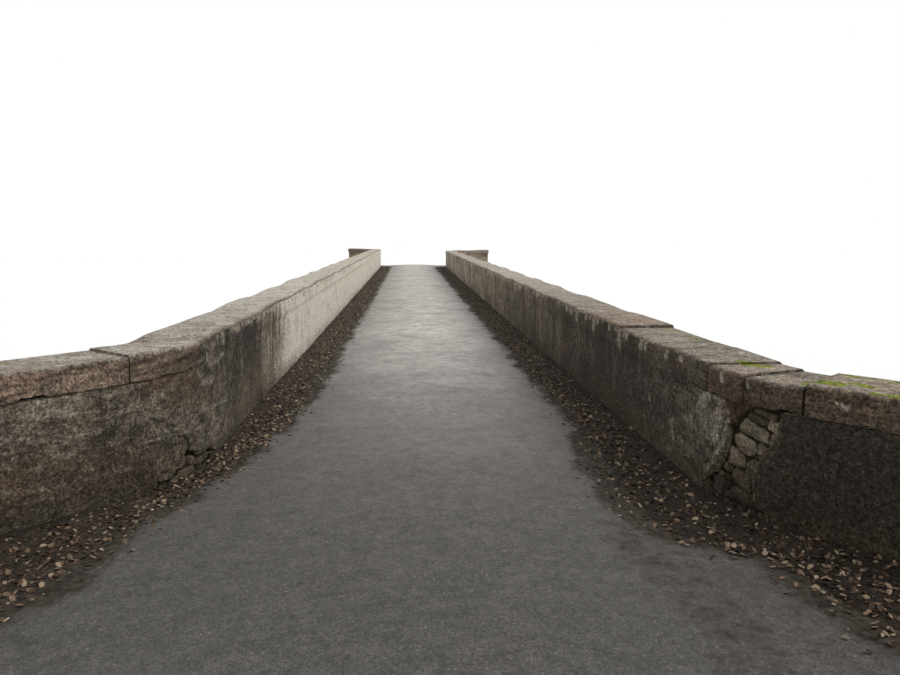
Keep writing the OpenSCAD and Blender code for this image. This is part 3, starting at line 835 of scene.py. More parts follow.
BROWN_STROKES = {
    LEFT: (
        (-0.60, 0.74, -0.15, 0.70, 0.07, 0.8), (-0.45, 0.62, 0.10, 0.50, 0.10, 0.5),
        (-1.60, 0.30, -0.70, 0.20, 0.18, 0.4), (1.20, 0.20, 2.20, 0.15, 0.20, 0.40),
    ),
    RIGHT: (
        (-0.30, 0.80, 0.50, 0.80, 0.07, 0.5), (-0.60, 0.45, -0.75, 0.20, 0.12, 0.15),
        (0.60, 0.10, 3.00, 0.10, 0.16, 0.40),
    ),
}

# The same on the slabs: moss and lichen on the tops by distance behind the face, on the faces by height
MOSS_STROKES = {
    LEFT: ((-1.5, 0.36, -0.9, 0.40, 0.08, 0.35),),
    RIGHT: (
        (-0.14, 0.33, 0.02, 0.24, 0.07, 0.75), (-0.88, 0.14, -0.75, 0.13, 0.08, 0.80),
        (-1.04, 0.19, -0.97, 0.21, 0.05, 0.75), (-1.60, 0.04, -1.12, 0.03, 0.05, 0.80),
        (-2.40, 0.22, -1.50, 0.20, 0.10, 0.60), (-1.60, 0.42, -0.60, 0.44, 0.05, 0.45),
        (1.00, 0.40, 2.40, 0.42, 0.06, 0.35),
    ),
}
FACE_LICHEN = {
    LEFT: (),
    RIGHT: (
        (-0.185, 0.105, -0.175, 0.145, 0.024, 0.80), (-0.41, 0.112, -0.41, 0.126, 0.021, 0.75),
        (-0.30, 0.107, -0.30, 0.107, 0.012, 0.8), (-1.00, 0.09, -0.95, 0.11, 0.020, 0.55),
    ),
}
TOP_LICHEN = {
    LEFT: ((-0.36, 0.17, -0.26, 0.17, 0.030, 0.95), (0.13, 0.22, 0.22, 0.22, 0.030, 0.9)),
    RIGHT: ((-0.85, 0.06, -0.75, 0.05, 0.030, 0.6), (-0.30, 0.05, -0.22, 0.05, 0.025, 0.5)),
}


def coping_depth_along(line, along):
    """Thickness of the coping along a wall, smoothed over the joints"""
    low, high, depth = np.array(line.slabs()).T
    return np.interp(along, (low + high) / 2, depth)


def covered(side, along):
    """1 where the render runs up over the slabs' faces, 0 where it ends below them"""
    wobble = 0.15 * NOISE.smooth(np.stack([along, along * 0, along * 0 + side], -1), 0.4)
    past = LINES[side].from_near(along) + wobble
    return step(past, COVERED_FROM[side] - COVER_BLEND, COVERED_FROM[side] + COVER_BLEND)


def hole_of(side):
    """Outline of the lost render of one side, along the wall and up from the feet"""
    near = LINES[side].straight[NEAR]
    if side == RIGHT:
        outline = jagged(PATCH, PATCH_SIZE, HOLE_PITCH, HOLE_SWING, draws("patch"))
        return outline * (-1, 1) + (near, MARGIN_Z)
    outline = jagged(UNDERCUT, UNDERCUT_SIZE, HOLE_PITCH, HOLE_SWING, draws("undercut"))
    return outline + (near - UNDERCUT_ON_SPLAY, MARGIN_Z)


def strokes_at(strokes, along, up):
    """Strength of painted strokes at places along the wall and up from the margin"""
    total = np.zeros(np.shape(along))
    spots = np.stack([along, up], -1)
    for x0, z0, x1, z1, width, strength in strokes:
        start, run = np.array([x0, z0]), np.array([x1 - x0, z1 - z0])
        share = np.clip(((spots - start) @ run) / max(run @ run, 1e-9), 0, 1)
        distance = np.linalg.norm(spots - start - share[..., None] * run, axis=-1)
        fades = [times * width for times in STROKE_FADES]
        total = np.maximum(total, strength * (1 - step(distance, *fades)))
    return total


def coat_grime_and_painted_light(side, along, height):
    """Share of soot on the render, with its painted shade and painted sunlight, as it changes along the wall
    and up it
    """
    up = (height - MARGIN_Z) / (WALL_TOP[side] - MARGIN_Z)
    past = LINES[side].from_near(along)
    ragged = 0.075 * NOISE.smooth(np.stack([along, height * 2, height * 0], -1), 0.45)
    paler = np.interp(past, *PALER_FOOT) * (side == LEFT)
    return np.interp(past, *SOOT_AND_PAINTED_LIGHT[side]) + ragged - paler * (1 - step(up, 0.1, 0.75))


def drawn_runs(side, along, down):
    """Runs below the coping, each of its own length: soot counts up and lime down"""
    rng = draws("runs", side)
    rows = along[:, 0]
    gaps = np.diff(rows)
    space = np.stack([along, down, down * 0], -1)
    wavering = along + 0.012 * NOISE.smooth(space, 0.12) + 0.02 * OTHER_NOISE.smooth(space, 0.5)
    total = np.zeros(along.shape)
    at = rows[0]
    while at < rows[-1]:
        width = max(rng.uniform(*RUN_WIDTH), 1.1 * np.interp(at, rows[:-1], gaps))
        at += width * rng.uniform(0.7, 2.4)
        reach = RUN_REACH[0] + rng.exponential(RUN_REACH[1])
        start = rng.choice([-0.02, 0.0, rng.uniform(0.0, 0.35)])
        strength = rng.uniform(-RUN_SWING, RUN_SWING)
        part = slice(*np.searchsorted(rows, (at - 4 * width, at + 4 * width)))
        fall = step(down[part], start - 0.04, start + 0.03)
        fall = fall * (1 - step(down[part], start + 0.4 * reach, start + reach))
        total[part] += strength * bell(wavering[part], at, 1.6 * width) * fall
    return total * np.interp(LINES[side].from_near(rows), *RUN_STRENGTH[side])[:, None]


def drawn_fringe(side, along, down):
    """Whitish drips that hang over the arris of the coping"""
    rng = draws("fringe", side)
    rows = along[:, 0]
    total = np.zeros(along.shape)
    at = LINES[side].straight[NEAR] + FRINGE_FROM
    while at < rows[-1]:
        width = max(rng.uniform(*DRIP_WIDTH), 0.05 * (at - rows[0]) / 3)
        at += width + rng.exponential(DRIP_APART[side])
        reach = rng.uniform(0.02, 0.06) + rng.exponential(0.05)
        part = slice(*np.searchsorted(rows, (at - 3 * width, at + 3 * width)))
        drip = bell(along[part], at, 1.4 * width) * (1 - step(down[part], 0.5 * reach, reach))
        total[part] = np.maximum(total[part], rng.uniform(0.4, 1.0) * drip)
    return total * (1 - 0.6 * step(LINES[side].from_near(along), *DRIPS_FADE))


def coat_relief(space, h, over, arris, bed, distance, pale, fringe):
    """How far the face of the render stands out from the line of the wall"""
    proud = 0.003 * pale
    for noise, (height, cell, octaves) in COAT_UNDULATIONS:
        proud = proud + height * noise.rough(space, cell, octaves)
    cap = step(h, bed - 0.07, bed + 0.01) * over
    proud = proud * (1 - 0.6 * cap) + cap * (COPING_LIP + 0.007)
    proud = proud + 0.004 * fringe * cap
    proud = proud - 0.007 * step(h, arris - 0.03, arris) * over
    near_hole = 1 - step(distance, 0.0, HOLE_THINS)
    return proud - 0.005 * near_hole * (1 + NOISE.smooth(space, 0.05))


def render_coat(side):
    """Render of one parapet with its undulations, its broken edges and its real thickness"""
    line = LINES[side]
    along = graded(line.ends[NEAR], line.ends[FAR], *COAT_GRADE)
    over = covered(side, along)
    depth = coping_depth_along(line, along)
    wobble = NOISE.smooth(np.stack([along, along * 0 + 3, along * 0], -1), 0.11)
    bed = WALL_TOP[side] - line.sunk(along)
    top = bed + over * (depth - COPING_ARRIS + 0.006 * wobble) - (1 - over) * (0.006 + 0.004 * wobble)
    foot = MARGIN_Z - COAT_FOOT
    s, t = np.meshgrid(along, np.linspace(0, 1, COAT_ROWS), indexing="ij")
    h = foot + t * (top[:, None] - foot)
    runs = drawn_runs(side, s, top[:, None] - h).ravel()
    fringe = drawn_fringe(side, s, top[:, None] - h).ravel()
    rows, columns = s.shape
    spots = np.stack([s.ravel(), h.ravel()], -1)
    hole = hole_of(side)
    distance, nearest = to_outline(spots, hole)
    snap = np.abs(distance) < HOLE_SNAP
    spots[snap] = nearest[snap]
    distance = np.where(snap, 0.0, distance)
    s, h = spots[:, 0], spots[:, 1]
    past, up = line.from_near(s), h - MARGIN_Z
    pale = strokes_at(PALE_STROKES[side], past, up)
    over, depth, bed = (np.repeat(values, columns) for values in (over, depth, bed))
    arris = bed + depth - COPING_ARRIS
    proud = coat_relief(line.place(s, 0, h), h, over, arris, bed, distance, pale, fringe)
    faces = grid_faces(rows, columns, flip=side == LEFT)
    gone, _ = to_outline(spots[faces].mean(1), hole)
    moved = line.place(s, np.full(len(s), COAT_BACK), h)
    points, faces, used = with_rim(line.place(s, -proud, h), faces[gone > 0], moved)
    values = {
        "grime_and_painted_light": coat_grime_and_painted_light(side, s, h),
        "runs": runs,
        "pale": np.clip(pale + fringe + coat_mottle(side, past, up), 0, 1),
        "brown": strokes_at(BROWN_STROKES[side], past, up),
        "damp_and_painted_shade": coat_damp_and_painted_shade(side, s, up / (WALL_TOP[side] - MARGIN_Z)),
        "trowelled": 1 - step(past, 0.2, 1.6),
        "marks": np.full(len(s), 1.0 if side == RIGHT else 0.8) * step(past, -0.45, -0.1),
        "broken": (0.45 if side == RIGHT else 0.15) * (1 - step(distance, 0.0, HOLE_EDGE)),
    }
    for key, numbers in values.items():
        rim = np.full(len(used), 1.0 if side == RIGHT else 0.4) if key == "broken" else numbers[used]
        values[key] = np.concatenate([numbers, rim])
    piece("render_coat_" + SIDE_NAMES[side], points, faces, LOOKS["render"], values,
          replaces=("render_" + SIDE_NAMES[side],))


def coat_mottle(side, past, up):
    """Broad zones of pale mottling on the render"""
    if side == LEFT:
        return 0.16 * bell(past, -0.9, 0.9) + 0.16 * bell(past, 1.0, 1.3) + 0.15 * step(past, 2.2, 3.4)
    beside_patch = bell(past, -0.05, 0.60) * bell(up, 0.52, 0.55)
    return 0.42 * beside_patch + 0.22 * bell(past, 0.8, 1.4) + 0.14 * step(past, 5.0, 12.0)


def coat_damp_and_painted_shade(side, along, share):
    """Share of dark damp growth near the foot, strongest towards the near end, where it is also painted shade
    """
    foot = 1 - step(share, 0.0, 0.45 if side == RIGHT else 0.3)
    near = 1 - step(LINES[side].from_near(along), 0.5, 8.0)
    return np.clip(foot * (0.38 + 0.50 * near), 0, 1)


# Coping slabs
def slab_profile(depth):
    """Outline of a slab's section, behind the face and above its bed, with the upper arrises worn"""
    flat = depth - COPING_ARRIS
    points, edges, tops = [], [], []

    def add(back, height, edge, top):
        points.append((back, height))
        edges.append(edge)
        tops.append(top)

    for i in range(9):
        add(-COPING_LIP, flat * i / 9, 1.0 if i == 0 else 0.15, 0.0)
    for i in range(6):
        a = math.pi / 2 * i / 5
        add(-COPING_LIP + COPING_ARRIS * (1 - math.cos(a)), flat + COPING_ARRIS * math.sin(a), 0.3, i / 5)
    inner, outer = -COPING_LIP + COPING_ARRIS, COPING_WIDTH - COPING_LIP - COPING_ARRIS
    for i in range(1, 16):
        add(inner + (outer - inner) * i / 16, depth, 0.0, 1.0)
    for i in range(5):
        a = math.pi / 2 * i / 4
        add(outer + COPING_ARRIS * math.sin(a), flat + COPING_ARRIS * math.cos(a), 0.3, 1 - i / 4)
    for i in range(1, 4):
        add(COPING_WIDTH - COPING_LIP, flat * (1 - i / 3), 0.2, 0.0)
    for i in range(1, 4):
        add(COPING_WIDTH - COPING_LIP - COPING_WIDTH * i / 4, 0.0, 1.0, 0.0)
    return np.array(points), np.array(edges), np.array(tops)


def lichen_at(side, past, back, height, top, rng):
    """Pale lichen: the few large spots that show, and small random ones on the tops"""
    faces = strokes_at(FACE_LICHEN[side], past, height) * (1 - top)
    tops = strokes_at(TOP_LICHEN[side], past, back) * top
    small = [
        (at, off, at + rng.uniform(0.0, 0.04), off, rng.uniform(0.010, 0.030), rng.uniform(0.5, 0.9))
        for at, off in zip(rng.uniform(past.min(), past.max(), 3), rng.uniform(0.05, 0.45, 3))
    ]
    return np.clip(np.maximum(faces, tops) + strokes_at(small, past, back) * top, 0, 1)


# Wear of the slabs in metres: hollows all over, chips at the corners, flaking layers and rounded
# ends, then their tilt, the length of their worn ends and the least number of stations along one
SLAB_HOLLOWS = 0.0045
CHIP_DEPTH = 0.020
LAYER_DEPTH = 0.013
END_ROUNDING = 0.008
LAYERED_ON_LEFT = (0.0, 0.5)
SLAB_TILT = 0.010
SLAB_END = 0.004
LEAST_STATIONS = 6

# Stretch over which the joints become flush with mortar, and how much they narrow there
JOINTS_CLOSED = {LEFT: (-0.75, -0.50), RIGHT: (2.0, 4.0)}
POINTED = {LEFT: 0.0065, RIGHT: 0.0045}

# How far the slabs are bleached, by distance from the start of the near splay
BLEACHED = {
    LEFT: ((-1.0, 0.6, 2.0, 5.0, 12.0, 40.0), (0.0, 0.15, 0.40, 0.80, 0.85, 0.6)),
    RIGHT: ((0.0, 3.0, 7.0, 12.0, 40.0), (0.0, 0.05, 0.45, 0.65, 0.5)),
}


def tube_faces(first, rings, size, flip):
    """Faces round a tube, and a fan over each end to the two points that follow its rings"""
    ring = first + np.arange(size)
    following = np.roll(ring, -1)
    faces = []
    for row in range(0, (rings - 1) * size, size):
        quads = row + np.stack([ring, following, following + size, ring + size], -1)
        faces += (quads[:, ::-1] if flip else quads).tolist()
    middle = first + rings * size
    for row, middle, last in ((0, middle, False), ((rings - 1) * size, middle + 1, True)):
        for pair in zip(ring + row, following + row):
            faces.append((*(pair if last == (not flip) else pair[::-1]), middle))
    return faces


def slab_normals(profile):
    """Directions in which each point of a slab's section wears away"""
    outward = profile - profile.mean(0)
    outward = outward / np.abs(outward).max(0)
    normal = np.sign(outward) * (np.abs(outward) > (0.93, 0.70))
    return normal / np.maximum(np.linalg.norm(normal, axis=1, keepdims=True), 1)


def slab_stations(low, high):
    """Stations along one slab, with its worn ends"""
    stations = graded(low, high, *SLAB_GRADE)
    if len(stations) < LEAST_STATIONS:
        stations = np.linspace(low, high, LEAST_STATIONS)
    return np.concatenate([[low, low + SLAB_END], stations[1:-1], [high - SLAB_END, high]])


def slab_wear(space, edge, top, from_end, bare, layers, strata):
    """How much of a slab is worn away, less where mortar covers its ends"""
    wear = SLAB_HOLLOWS + 0.0050 * NOISE.rough(space, 0.30, 4)
    wear = wear + 0.0032 * OTHER_NOISE.rough(space, 0.045, 3)
    corner = np.maximum((edge > 0.25) * 1.0, (1 - step(from_end, 0.0, 0.03)) * bare)
    chips = step(NOISE.rough(space + 5, 0.10, 3), 0.25, 0.80)
    wear = np.maximum(wear, 0) + CHIP_DEPTH * chips * corner
    wear = wear + LAYER_DEPTH * layers * step(strata, 0.0, 0.5) * (1 - top)
    return wear + END_ROUNDING * bare * (1 - step(from_end, 0.0, 0.014))


def weathered_slab(side, rng, low, high, depth, before, after):
    """Rings of points of one slab, how many points a ring has, and the values at them"""
    line = LINES[side]
    profile, edge, top = slab_profile(depth)
    closed = float(step(line.from_near((low + high) / 2), *JOINTS_CLOSED[side]))
    bare = 1 - 0.8 * closed
    low, high = low - POINTED[side] * closed, high + POINTED[side] * closed
    stations = slab_stations(low, high)
    tone = rng.random()
    tilt = rng.uniform(0.0, SLAB_TILT) * bare
    s = np.repeat(stations, len(profile))
    past, from_end = line.from_near(s), np.minimum(s - low, high - s)
    bed = WALL_TOP[side] - line.sunk(s)
    section = np.tile(profile, (len(stations), 1))
    normals = np.tile(slab_normals(profile), (len(stations), 1))
    top, edge = np.tile(top, len(stations)), np.tile(edge, len(stations))
    level = (before - depth) * (1 - step(s - low, 0.0, 0.3))
    level = level + (after - depth) * (1 - step(high - s, 0.0, 0.3))
    section[:, 1] *= 1 + 0.5 * closed * level / depth
    layers = (1 - step(past, *LAYERED_ON_LEFT)) if side == LEFT else np.full(len(s), 0.25)
    sloping = np.stack([s, s * 0, (section[:, 1] - 0.16 * past) * 12], -1)
    strata = OTHER_NOISE.rough(sloping, 0.42, 2)
    space = line.place(s, section[:, 0], bed + section[:, 1])
    section = section - normals * slab_wear(space, edge, top, from_end, bare, layers, strata)[:, None]
    section[:, 1] = np.maximum(section[:, 1], 0.0) - 0.002
    section[:, 1] -= top * tilt * (s - low) / (high - low)
    back = section[:, 0]
    brown = (side == LEFT) * (1 - step(past[0], -0.6, 0.3))
    gap_dirt = (1 - step(from_end, 0.0, 0.045)) * (1 - 0.75 * closed)
    # Painted shade on the faces, deepest on the near right slabs
    dark = 0.85 * (1 - step(past, -0.2, 1.5)) if side == RIGHT else 0.25 + 0.35 * step(past, -0.78, -0.60)
    return line.place(s, back, bed + section[:, 1]), len(profile), {
        "tone": np.full(len(s), tone * (1 - brown) + 0.9 * brown),
        # Paler tops, kept darker on the right as painted shade
        "top": top * (1.0 if side == LEFT else 0.35),
        "edge": np.clip(edge * 0.8 + gap_dirt, 0, 1),
        "moss": top * (0.12 * (side == RIGHT) + strokes_at(MOSS_STROKES[side], past, back)),
        "lichen": lichen_at(side, past, back, section[:, 1], top, rng),
        "layer": layers * strata * (1 - top),
        "dark": (1 - top) * dark,
        "bleach": (0.25 + 0.75 * top) * np.interp(past, *BLEACHED[side]),
    }


def coping(side):
    """Weathered slabs of one parapet and its splays"""
    rng = draws("coping", side)
    points, faces, values, count = [], [], {}, 0
    rows = LINES[side].slabs()
    for k, (low, high, depth) in enumerate(rows):
        before, after = rows[max(k - 1, 0)][2], rows[min(k + 1, len(rows) - 1)][2]
        put, size, put_values = weathered_slab(side, rng, low, high, depth, before, after)
        points += [put, np.array([put[:size].mean(0), put[-size:].mean(0)])]
        faces += tube_faces(count, len(put) // size, size, side == LEFT)
        count += len(put) + 2
        for key, numbers in put_values.items():
            values.setdefault(key, []).append(np.concatenate([numbers, np.full(2, float(key == "edge"))]))
    values = {key: np.concatenate(parts) for key, parts in values.items()}
    nodes = ["coping_" + SIDE_NAMES[side]]
    nodes += [f"coping_wing_{END_NAMES[end]}_{SIDE_NAMES[side]}" for end in (NEAR, FAR)]
    piece("weathered_coping_" + SIDE_NAMES[side], np.concatenate(points), faces,
          LOOKS["coping"], values, replaces=nodes)


# Stones laid on flat, curved and sloping faces
STONE_POINTS = 8

# Size and rise of each ring of points round a stone, from its foot, which is sunk in the wall, to its top
STONE_RINGS = ((1.0, 0.0), (0.955, 0.45), (0.70, 0.93))
STONE_SIZE = STONE_POINTS * len(STONE_RINGS) + 1
STONE_CROWN = 0.98
STONE_LEAN = 0.22
STONE_ROUGHNESS = 0.10

# Points round a stone: which side and height of its rectangle, and which way its corner is cut off there
STONE_CORNERS = (
    (0, 0, 1, 0), (1, 0, -1, 0), (1, 0, 0, 1), (1, 1, 0, -1),
    (1, 1, -1, 0), (0, 1, 1, 0), (0, 1, 0, -1), (0, 0, 0, 1),
)


def stone_outlines(cells, rng, gap, jitter, chamfer):
    """Eight-sided outlines of stones from the rectangles that they fill"""
    u0, u1, v0, v1 = (cells[:, i] for i in range(4))
    width, height = u1 - u0 - gap, v1 - v0 - gap
    u0, v0 = u0 + gap / 2, v0 + gap / 2
    cut = np.minimum(width, height)[:, None] * rng.uniform(*chamfer, (len(cells), STONE_POINTS))
    shape = np.empty((len(cells), STONE_POINTS, 2))
    for i, (right, top, cut_right, cut_up) in enumerate(STONE_CORNERS):
        shape[:, i, 0] = u0 + right * width + cut_right * cut[:, i]
        shape[:, i, 1] = v0 + top * height + cut_up * cut[:, i]
    shape += rng.uniform(-jitter, jitter, shape.shape)
    return shape


def courses(width, height, rng, course=(0.11, 0.21), length=(0.16, 0.46)):
    """Rectangles of rubble laid in courses over a face"""
    cells = []
    beds = [0.0]
    while beds[-1] < height - course[0]:
        beds.append(beds[-1] + rng.uniform(*course))
    beds = np.array(beds) * height / beds[-1]
    for v0, v1 in zip(beds[:-1], beds[1:]):
        ends = [0.0]
        while ends[-1] < width - length[0]:
            ends.append(ends[-1] + rng.uniform(*length) * (0.7 + 1.9 * (v1 - v0)))
        ends = np.array(ends) * width / ends[-1]
        for u0, u1 in zip(ends[:-1], ends[1:]):
            if u1 - u0 > 0.30 and v1 - v0 > 0.15 and rng.random() < 0.22:
                middle = v0 + (v1 - v0) * rng.uniform(0.4, 0.6)
                cells += [(u0, u1, v0, middle), (u0, u1, middle, v1)]
            else:
                cells.append((u0, u1, v0, v1))
    return np.array(cells)


def stone_faces():
    """Faces of one stone: its sides, a fan over its top and its back"""
    pairs = [(i, (i + 1) % STONE_POINTS) for i in range(STONE_POINTS)]
    top = STONE_SIZE - 1 - STONE_POINTS
    sides = [
        (a + i, a + j, a + j + STONE_POINTS, a + i + STONE_POINTS)
        for a in range(0, top, STONE_POINTS) for i, j in pairs
    ]
    return sides + [(top + i, top + j, STONE_SIZE - 1) for i, j in pairs] + [range(STONE_POINTS)[::-1]]


class StonePile:
    """Gathers the stones of one piece"""

    def __init__(self, name, slot="rubble_stone", look="rubble"):
        self.name, self.slot, self.look = name, slot, look
        self.points, self.faces, self.tones, self.count = [], [], [], 0

    def add(self, outlines, normals, proud, rng, sunk=0.35, tones=None):
        """Stones from their outlines in space, standing out along their normals"""
        total = len(outlines)
        if not total:
            return
        normals = np.broadcast_to(np.asarray(normals, float), (total, 3))
        middle = outlines.mean(1, keepdims=True)
        heights = np.broadcast_to(np.asarray(proud, float), (total,)) * rng.uniform(0.75, 1.0, total)
        lean = rng.uniform(-STONE_LEAN, STONE_LEAN, (total, 1, 3))
        extent = np.linalg.norm(outlines - middle, axis=2).max(1)
        steepness = (heights / np.maximum(extent, 1e-6))[:, None]
        high = heights[:, None]
        parts = []
        for k, (scale, lift) in enumerate(STONE_RINGS):
            ring = middle + (outlines - middle) * scale
            slope = ((ring - middle) * lean).sum(2) * steepness
            rough = rng.uniform(-STONE_ROUGHNESS, STONE_ROUGHNESS, (total, STONE_POINTS)) * high
            rise = np.minimum(lift * high + (slope + rough), high) if k else -sunk * high
            parts.append(ring + normals[:, None, :] * rise[..., None])
        parts.append(middle + normals[:, None, :] * (heights * STONE_CROWN)[:, None, None])
        self.points.append(np.concatenate(parts, 1).reshape(-1, 3))
        turned_away = np.cross(outlines[:, 2] - outlines[:, 0], outlines[:, 4] - outlines[:, 0])
        backwards = (turned_away * normals).sum(1) < 0
        for start, back in zip(self.count + np.arange(total) * STONE_SIZE, backwards):
            for corners in STONE_FACES:
                face = [start + i for i in corners]
                self.faces.append(face[::-1] if back else face)
        tones = rng.random(total) if tones is None else tones
        self.tones.append(np.repeat(tones, STONE_SIZE))
        self.count += total * STONE_SIZE

    def build(self, crease=38):
        piece(self.name, np.concatenate(self.points), self.faces, LOOKS[self.look],
              {"tone": np.concatenate(self.tones)}, crease=crease)


STONE_FACES = stone_faces()

# How far stones stand out, the joints between them, the raggedness of their outlines and their cut corners
RUBBLE_PROUD = 0.018
RUBBLE_GAP = 0.016
RUBBLE_JITTER = 0.009
RUBBLE_CHAMFER = (0.06, 0.22)
RUBBLE_FROM_RING = 0.012
LEAST_STONE = 0.035
END_PROUD = 0.012
ASHLAR_PROUD = 0.012
ASHLAR_GAP = 0.010
ASHLAR_JITTER = 0.002
ASHLAR_CHAMFER = (0.02, 0.05)
ASHLAR_SHIFT = 0.18
CAP_PROUD = 0.010
VOUSSOIR_PROUD = 0.026
VOUSSOIR_GAP = 0.004
SOFFIT_STONE = (0.26, 0.62)
SOFFIT_PROUD = 0.012
SOFFIT_GAP = 0.009
SOFFIT_JITTER = 0.003
SOFFIT_CHAMFER = (0.03, 0.10)


def on_side(side, outlines):
    """Outlines along the road and up from the feet, put on the outer face of one side"""
    return np.stack([np.full(outlines.shape[:2], side * OUTER_X), outlines[..., 0], outlines[..., 1]], -1)


def rubble_outlines(width, height, rng, **layout):
    """Outlines of rubble laid in courses over a rectangle"""
    outlines = stone_outlines(
        courses(width, height, rng, **layout), rng, RUBBLE_GAP, RUBBLE_JITTER, RUBBLE_CHAMFER,
    )
    return keep_within(outlines, width, height)


def flat_face(origin, along, width, height, rng, **layout):
    """Rubble on a flat upright face"""
    outlines = rubble_outlines(width, height, rng, **layout)
    return origin + outlines[..., :1] * along + outlines[..., 1:] * (0, 0, 1)


def keep_within(outlines, width, height, inset=0.003):
    """Outlines held inside a rectangle"""
    return np.clip(outlines, inset, (width - inset, height - inset))


def side_rubble(side):
    """Rubble of one spandrel wall and its parapet, fitted round the face rings"""
    rng = draws("side_rubble", side)
    near, far = (LINES[side].straight[end] for end in (NEAR, FAR))
    pile = StonePile("side_rubble_" + SIDE_NAMES[side])
    outlines = rubble_outlines(far - near, WALL_TOP[side] - SPRING_Z, rng) + (near, SPRING_Z)
    clear = ARCH_RADIUS + RING_DEPTH + RUBBLE_GAP / 2
    kept = np.ones(len(outlines), bool)
    for bay in BAY_NAMES:
        centre = np.array([bay * BAY, ARCH_CENTRE_Z])
        kept &= np.linalg.norm(outlines.mean(1) - centre, axis=1) > clear + RUBBLE_FROM_RING
        away = outlines - centre
        length = np.linalg.norm(away, axis=2, keepdims=True)
        outlines = np.where(length < clear, centre + away / length * clear, outlines)
    outlines = outlines[kept]
    outlines = outlines[(outlines.max(1) - outlines.min(1)).min(1) > LEAST_STONE]
    pile.add(on_side(side, outlines), (side, 0, 0), RUBBLE_PROUD, rng)
    pile.build()


def wing_rubble(side, end):
    """Rubble on the outer face and the end of one splayed wall"""
    rng = draws("wing_rubble", 2 * side + end)
    line = LINES[side]
    pile = StonePile(f"wing_rubble_{END_NAMES[end]}_{SIDE_NAMES[side]}")
    back = RENDER_THICKNESS + WALL_THICKNESS
    arc = (SPLAY_RADIUS - back) * SPLAY_ANGLE
    length = arc + line.tail[end]
    outlines = rubble_outlines(length, WALL_TOP[side], rng)
    whole = abs(line.ends[end] - line.straight[end])
    past = np.interp(outlines[..., 0], (0, arc, length), (0, SPLAY_RADIUS * SPLAY_ANGLE, whole))
    along = line.straight[end] + end * past
    space = line.place(along, back, outlines[..., 1])
    middle, height = along.mean(1), outlines[..., 1].mean(1)
    normals = line.place(middle, back + 1.0, height) - line.place(middle, back, height)
    pile.add(space, normals, RUBBLE_PROUD, rng)
    edge = line.ends[end]
    face_start = line.place(edge, back - 0.01, 0.0)
    face_end = line.place(edge, RENDER_THICKNESS + 0.02, 0.0)
    width = float(np.linalg.norm(face_end - face_start))
    across = (face_end - face_start) / width
    space = flat_face(face_start, across, width, WALL_TOP[side], rng, length=(0.16, 0.34))
    outward = line.place(edge, 0.2, 0.0) - line.place(edge - end * 0.1, 0.2, 0.0)
    outward = outward / np.linalg.norm(outward)
    pile.add(space - outward * END_PROUD, outward, END_PROUD, rng, sunk=0.1)
    pile.build()


def abutment_rubble(end):
    """Rubble on the two sides and the front of one abutment"""
    rng = draws("abutments", end)
    pile = StonePile("abutment_rubble_" + END_NAMES[end])
    for side in (LEFT, RIGHT):
        length = abs(LINES[side].straight[end]) - ABUTMENT_Y
        space = flat_face((side * OUTER_X, end * ABUTMENT_Y, 0), (0, end, 0), length, SPRING_Z, rng)
        pile.add(space, (side, 0, 0), RUBBLE_PROUD, rng)
    space = flat_face((-OUTER_X, end * ABUTMENT_Y, 0), (1, 0, 0), 2 * OUTER_X, SPRING_Z, rng)
    pile.add(space, (0, -end, 0), RUBBLE_PROUD, rng)
    pile.build()


def pier_rubble(end):
    """Rubble on the two faces of one pier that look through the arches"""
    rng = draws("piers", end)
    pile = StonePile("pier_rubble_" + END_NAMES[end])
    for face in (-1, 1):
        origin = (-OUTER_X, end * PIER_Y + face * HALF_PIER, PLINTH_Z)
        space = flat_face(origin, (1, 0, 0), 2 * OUTER_X, SPRING_Z - PLINTH_Z, rng)
        pile.add(space, (0, face, 0), RUBBLE_PROUD, rng)
    pile.build()


def voussoir_angles(depth):
    """Turns of the bed joints from the crown, at a distance outside the soffit"""
    whole = math.acos((SPRING_Z - ARCH_CENTRE_Z) / ARCH_RADIUS)
    angles = (2 * np.arange(VOUSSOIRS + 1) / VOUSSOIRS - 1) * whole
    last = math.acos((SPRING_Z - ARCH_CENTRE_Z) / (ARCH_RADIUS + depth))
    angles[0], angles[-1] = -last, last
    return angles


def arc_points(radius, low, high):
    """Start, middle and end of an arc about the centre of a vault"""
    turn = np.array([low, (low + high) / 2, high])
    return np.stack([radius * np.sin(turn), ARCH_CENTRE_Z + radius * np.cos(turn)], -1)


def face_rings(bay, side):
    """Dressed stones of one face ring, standing a little out of the wall"""
    rng = draws("face_rings", 3 * bay + side)
    pile = StonePile(f"voussoirs_{BAY_NAMES[bay]}_{SIDE_NAMES[side]}", "dressed_stone", "dressed")
    inner, outer = voussoir_angles(0.0), voussoir_angles(RING_DEPTH)
    outlines = []
    for i in range(VOUSSOIRS):
        high = ARCH_RADIUS + RING_DEPTH + rng.uniform(-0.012, 0.0)
        bottom, top = (
            arc_points(radius, turns[i] + VOUSSOIR_GAP / radius, turns[i + 1] - VOUSSOIR_GAP / radius)
            for radius, turns in ((ARCH_RADIUS + 0.001, inner), (high, outer))
        )
        right, left = (bottom[2] + top[2]) / 2, (top[0] + bottom[0]) / 2
        outlines.append([*bottom, right, *top[::-1], left])
    outlines = np.array(outlines) + (bay * BAY, 0)
    pile.add(on_side(side, outlines), (side, 0, 0), VOUSSOIR_PROUD, rng, sunk=0.6)
    pile.build()


